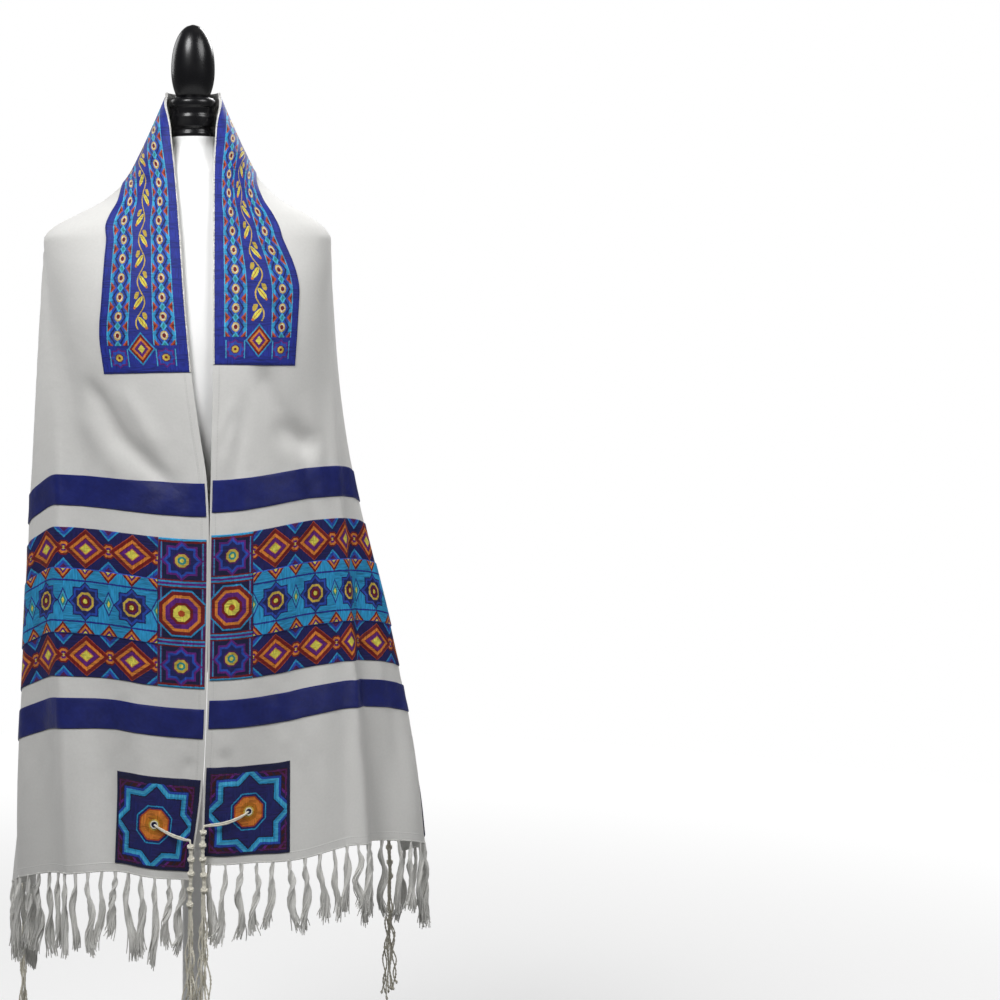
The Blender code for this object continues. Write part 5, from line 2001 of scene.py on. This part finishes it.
@dataclass
class DressForm:
    """The limbless form under the shawl: torso, neck cap, knob, pole and base."""

    finishes: Finishes
    cap_depth: float = 0.049
    knob_height: float = 0.0880
    knob_radius: float = 0.0262
    knob_widest: float = 0.38
    bottom: float = 0.670
    base_radius: float = 0.180
    base_height: float = 0.018
    pole_radius: float = 0.0125
    sides: int = 120
    edge_rounding: float = 0.006

    def section(self, drop: Array) -> tuple[Array, Array, Array, Array]:
        """Half width, front, back and power of the torso's surface at each drop.

        Args:
            drop: heights below the neck top.

        Returns:
            The four measures at each drop.
        """
        band = ramp(drop, 0.06, 0.05) * (1 - ramp(drop, 0.18, 0.06))
        inset = 0.0028 + 0.0010 * band
        lifted = np.maximum(drop - inset, 0.0)
        flare = 0.0285 + 2.4 * np.maximum(drop - 0.058, 0.0) ** 1.35
        shoulder = flare + 0.9 * np.maximum(drop - 0.10, 0.0)
        wide = np.minimum(DRAPE.body["half_width"](lifted) - inset, shoulder)
        front = np.minimum(DRAPE.body["front"](lifted) - inset, flare)
        back = np.minimum(DRAPE.body["back"](lifted) - inset, flare)
        return wide, front, back, DRAPE.body["power"](drop)

    def torso(self) -> Piece:
        """The covered torso, with side seams and a boarded underside.

        Returns:
            The piece.
        """
        turn = np.linspace(0.2, 1.0, 6)
        drops = np.concatenate((
            np.linspace(self.cap_depth + CUT.seam, 0.20, 44)[:-1],
            np.linspace(0.20, self.bottom - self.edge_rounding, 60),
            self.bottom - self.edge_rounding * (1 - np.sin(turn * np.pi / 2)),
        ))
        rolled = np.concatenate((np.ones(len(drops) - len(turn)), np.cos(turn * 0.35)))
        wide, front, back, power = self.section(drops)
        angle = np.linspace(0, 2 * np.pi, self.sides + 1)
        cosine, sine = np.cos(angle)[:, None], np.sin(angle)[:, None]
        depth = np.where(sine > 0, back[None], front[None])
        x = np.sign(cosine) * wide[None] * np.abs(cosine) ** (2 / power[None])
        y = np.sign(sine) * depth * np.abs(sine) ** (2 / power[None])
        seams = np.exp(-((y / 0.0011) ** 2)) * (np.abs(sine) <= 0.3)
        shrink = rolled[None] * (1 - 0.0007 * seams / np.maximum(np.hypot(x, y), 0.02))
        heights = DRAPE.neck_top - drops
        points = np.stack((x * shrink, y * shrink, np.broadcast_to(heights, x.shape)), axis=2)
        crown, floor = (np.zeros_like(points[:, :1]) + UP * heights[n] for n in (0, -1))
        points = np.concatenate((crown, points, floor), axis=1)
        piece = Workbench.grid("covered_torso", self.sides, len(drops) + 1)
        Workbench.shape(piece, points)
        Workbench.turn_out(piece)
        Workbench.smooth(piece, 40.0)
        return place(piece, self.finishes.cover, Slot.COVER, "form_torso")

    @staticmethod
    def rounded(profile: Sequence[tuple[float, float, float]]) -> list[tuple[float, float]]:
        """Rounds the corners of a profile.

        Args:
            profile: (radius, height, corner radius) points, from the top to the bottom.

        Returns:
            (radius, height) points with an arc at each rounded corner.
        """
        spots = [np.array(p[:2]) for p in profile]
        made = [tuple(spots[0])]
        for n in range(1, len(spots) - 1):
            sides = (spots[n - 1] - spots[n], spots[n + 1] - spots[n])
            reach = min(profile[n][2], *(np.linalg.norm(side) * 0.48 for side in sides))
            a, b = (spots[n] + side / np.linalg.norm(side) * reach for side in sides)
            for u in np.linspace(0.0, 1.0, 6):
                made.append(tuple(a * (1 - u) ** 2 + spots[n] * 2 * u * (1 - u) + b * u * u))
        return made + [tuple(spots[-1])]

    def egg(self, low: float) -> list[tuple[float, float]]:
        """The knob's outline.

        Args:
            low: the height of its underside.

        Returns:
            (radius, height) points, from the top to the bottom.
        """
        profile = []
        for level in np.linspace(0.999, 0.0, 46):
            if level > self.knob_widest:
                share = max(1 - ((level - self.knob_widest) / (1 - self.knob_widest)) ** 2.2, 0.0)
                size = self.knob_radius * math.sqrt(share)
            else:
                size = self.knob_radius * (1 - 0.27 * ((self.knob_widest - level) / self.knob_widest) ** 2.2)
            profile.append((size, low + self.knob_height * float(level)))
        return profile

    def turned_parts(self) -> list[Piece]:
        """The neck cap with its bead and groove, the knob, the pole with its collar, and the domed base.

        Returns:
            The four pieces.
        """
        top, low = DRAPE.neck_top - 0.002, DRAPE.neck_top - self.cap_depth
        cap = (
            (0.0010, top, 0.0), (0.0250, top, 0.004), (0.0290, top - 0.004, 0.003),
            (0.0290, top - 0.0105, 0.002), (0.0272, top - 0.0125, 0.002), (0.0270, top - 0.0200, 0.002),
            (0.0284, top - 0.0230, 0.003), (0.0286, low + 0.0120, 0.002), (0.0266, low + 0.0095, 0.001),
            (0.0267, low + 0.0070, 0.001), (0.0283, low + 0.0040, 0.002), (0.0283, low, 0.001),
            (0.0010, low, 0.0),
        )
        under, foot = DRAPE.neck_top - self.bottom - CUT.seam, self.base_height + CUT.seam
        r = self.pole_radius
        pole = (
            (0.0010, under, 0.0), (0.0300, under, 0.001), (0.0300, under - 0.006, 0.002),
            (r + 0.003, under - 0.022, 0.004), (r, under - 0.025, 0.002), (r, foot + 0.030, 0.001),
            (r + 0.0001, foot, 0.001), (0.0010, foot, 0.0),
        )
        h, rim = self.base_height, self.base_radius
        base = (
            (0.0010, h, 0.0), (0.030, h, 0.006), (0.100, h * 0.80, 0.020), (rim - 0.012, h * 0.52, 0.008),
            (rim - 0.003, h * 0.36, 0.003), (rim, h * 0.2, 0.002), (rim, 0.0, 0.0005), (0.0010, 0.0, 0.0),
        )
        lacquer, powder = self.finishes.lacquer, self.finishes.powder
        plan = (
            ("turned_neck_cap", self.rounded(cap), 96, lacquer, Slot.WOOD, "neck_cap"),
            ("egg_knob", self.egg(top + CUT.seam), 96, lacquer, Slot.WOOD, "knob"),
            ("pole_and_collar", self.rounded(pole), 64, powder, Slot.METAL, "pole"),
            ("round_base", self.rounded(base), 128, powder, Slot.METAL, "base"),
        )
        return [place(Workbench.turned(name, profile, steps), finish, slot, node)
                for name, profile, steps, finish, slot, node in plan]

    def build(self) -> list[Piece]:
        """Builds the form.

        Returns:
            Its pieces.
        """
        return [self.torso(), *self.turned_parts()]


# The studio


@dataclass(frozen=True)
class SoftBox:
    """One soft light of the studio."""

    name: str
    spot: Point
    size: float
    watts: float


@dataclass
class Studio:
    """Pale floor, even light and the photograph's camera."""

    eye_height: float = 1.176
    distance: float = 2.5
    view_angle: float = 27.0
    centre_px: tuple[float, float] = (193.0, 300.0)
    image_px: float = 1000.0
    boxes: tuple[SoftBox, ...] = (
        SoftBox("key_light", (-0.8, -1.3, 2.65), 0.9, 41.0),
        SoftBox("fill_light", (1.5, -1.2, 2.60), 1.2, 30.0),
        SoftBox("back_light", (1.1, 1.8, 2.5), 1.2, 36.0),
        SoftBox("back_fill", (-1.7, 1.6, 2.2), 1.4, 14.0),
    )
    aim_height: float = 0.95
    floor_radius: float = 3.2
    surroundings: float = 0.13

    def floor(self) -> None:
        """Lays the floor."""
        Workbench.take()
        bpy.ops.mesh.primitive_circle_add(vertices=96, radius=self.floor_radius, fill_type="NGON")
        piece = bpy.context.active_object
        piece.name = piece.data.name = "studio_floor"
        made = Finish("pale_floor", 0.9)
        mottle = made.noise(1.5, 2.0, flat=False)
        x, y, _ = made.parts(made.position())
        fade = x.distance(y).eased(0.7, self.floor_radius * 0.85)
        glow = made.mixed(fade, (0.0, 0.0, 0.0), (1.0, 1.0, 1.0))
        made.tree.links.new(glow, made.shader.inputs["Emission Color"])
        made.shader.inputs["Emission Strength"].default_value = 1.0
        paint = made.scaled((0.93, 0.93, 0.93), (1.0 - fade) * (mottle * 0.01 + 0.995))
        piece.data.materials.append(made.close(paint))
        piece.visible_diffuse = False

    def light(self) -> None:
        """Hangs the soft boxes, and sets even surroundings with a white backdrop."""
        world = bpy.data.worlds.new("white_studio")
        world.use_nodes = True
        tree = world.node_tree
        surroundings = tree.nodes["Background"]
        backdrop = tree.nodes.new("ShaderNodeBackground")
        for background in (surroundings, backdrop):
            background.inputs["Color"].default_value = (1.0, 1.0, 1.0, 1.0)
        surroundings.inputs["Strength"].default_value = self.surroundings
        rays = tree.nodes.new("ShaderNodeLightPath")
        either = tree.nodes.new("ShaderNodeMixShader")
        sources = (rays.outputs["Is Camera Ray"], surroundings.outputs[0], backdrop.outputs[0])
        for number, source in enumerate(sources):
            tree.links.new(source, either.inputs[number])
        tree.links.new(either.outputs[0], tree.nodes["World Output"].inputs["Surface"])
        bpy.context.scene.world = world
        for box in self.boxes:
            lamp = bpy.data.lights.new(box.name, "AREA")
            lamp.shape = "DISK"
            lamp.size = box.size
            lamp.energy = box.watts
            holder = bpy.data.objects.new(box.name, lamp)
            holder.location = box.spot
            aim = UP * self.aim_height - np.array(box.spot)
            pitch = math.atan2(math.hypot(aim[0], aim[1]), -aim[2])
            holder.rotation_euler = (pitch, 0.0, math.atan2(-aim[0], aim[1]))
            holder.visible_camera = False
            bpy.context.scene.collection.objects.link(holder)

    def camera(self) -> None:
        """Sets the camera level and straight in front, with the object off centre as in the photograph."""
        lens = bpy.data.cameras.new("photo_camera")
        lens.angle = math.radians(self.view_angle)
        lens.shift_x = 0.5 - self.centre_px[0] / self.image_px
        lens.shift_y = self.centre_px[1] / self.image_px - 0.5
        holder = bpy.data.objects.new("photo_camera", lens)
        holder.location = (0.0, -self.distance, self.eye_height)
        holder.rotation_euler = (math.radians(90.0), 0.0, 0.0)
        bpy.context.scene.collection.objects.link(holder)
        bpy.context.scene.camera = holder

    def build(self) -> None:
        """Builds the studio."""
        self.floor()
        self.light()
        self.camera()
        bpy.context.scene.view_settings.view_transform = "Standard"


def main() -> None:
    """Builds everything in order."""
    finishes = Finishes()
    cloth = ShawlCloth(finish=finishes.cloth).build()
    pieces = SewnPanels(finishes).build()
    pieces += Fringe(finishes.yarn).build()
    for side in Side:
        for at_front in (True, False):
            pieces.append(CornerTassel(side, at_front, finishes.wool).build())
    DressForm(finishes).build()
    Studio().build()
    Workbench.take()


if __name__ == "__main__":
    main()
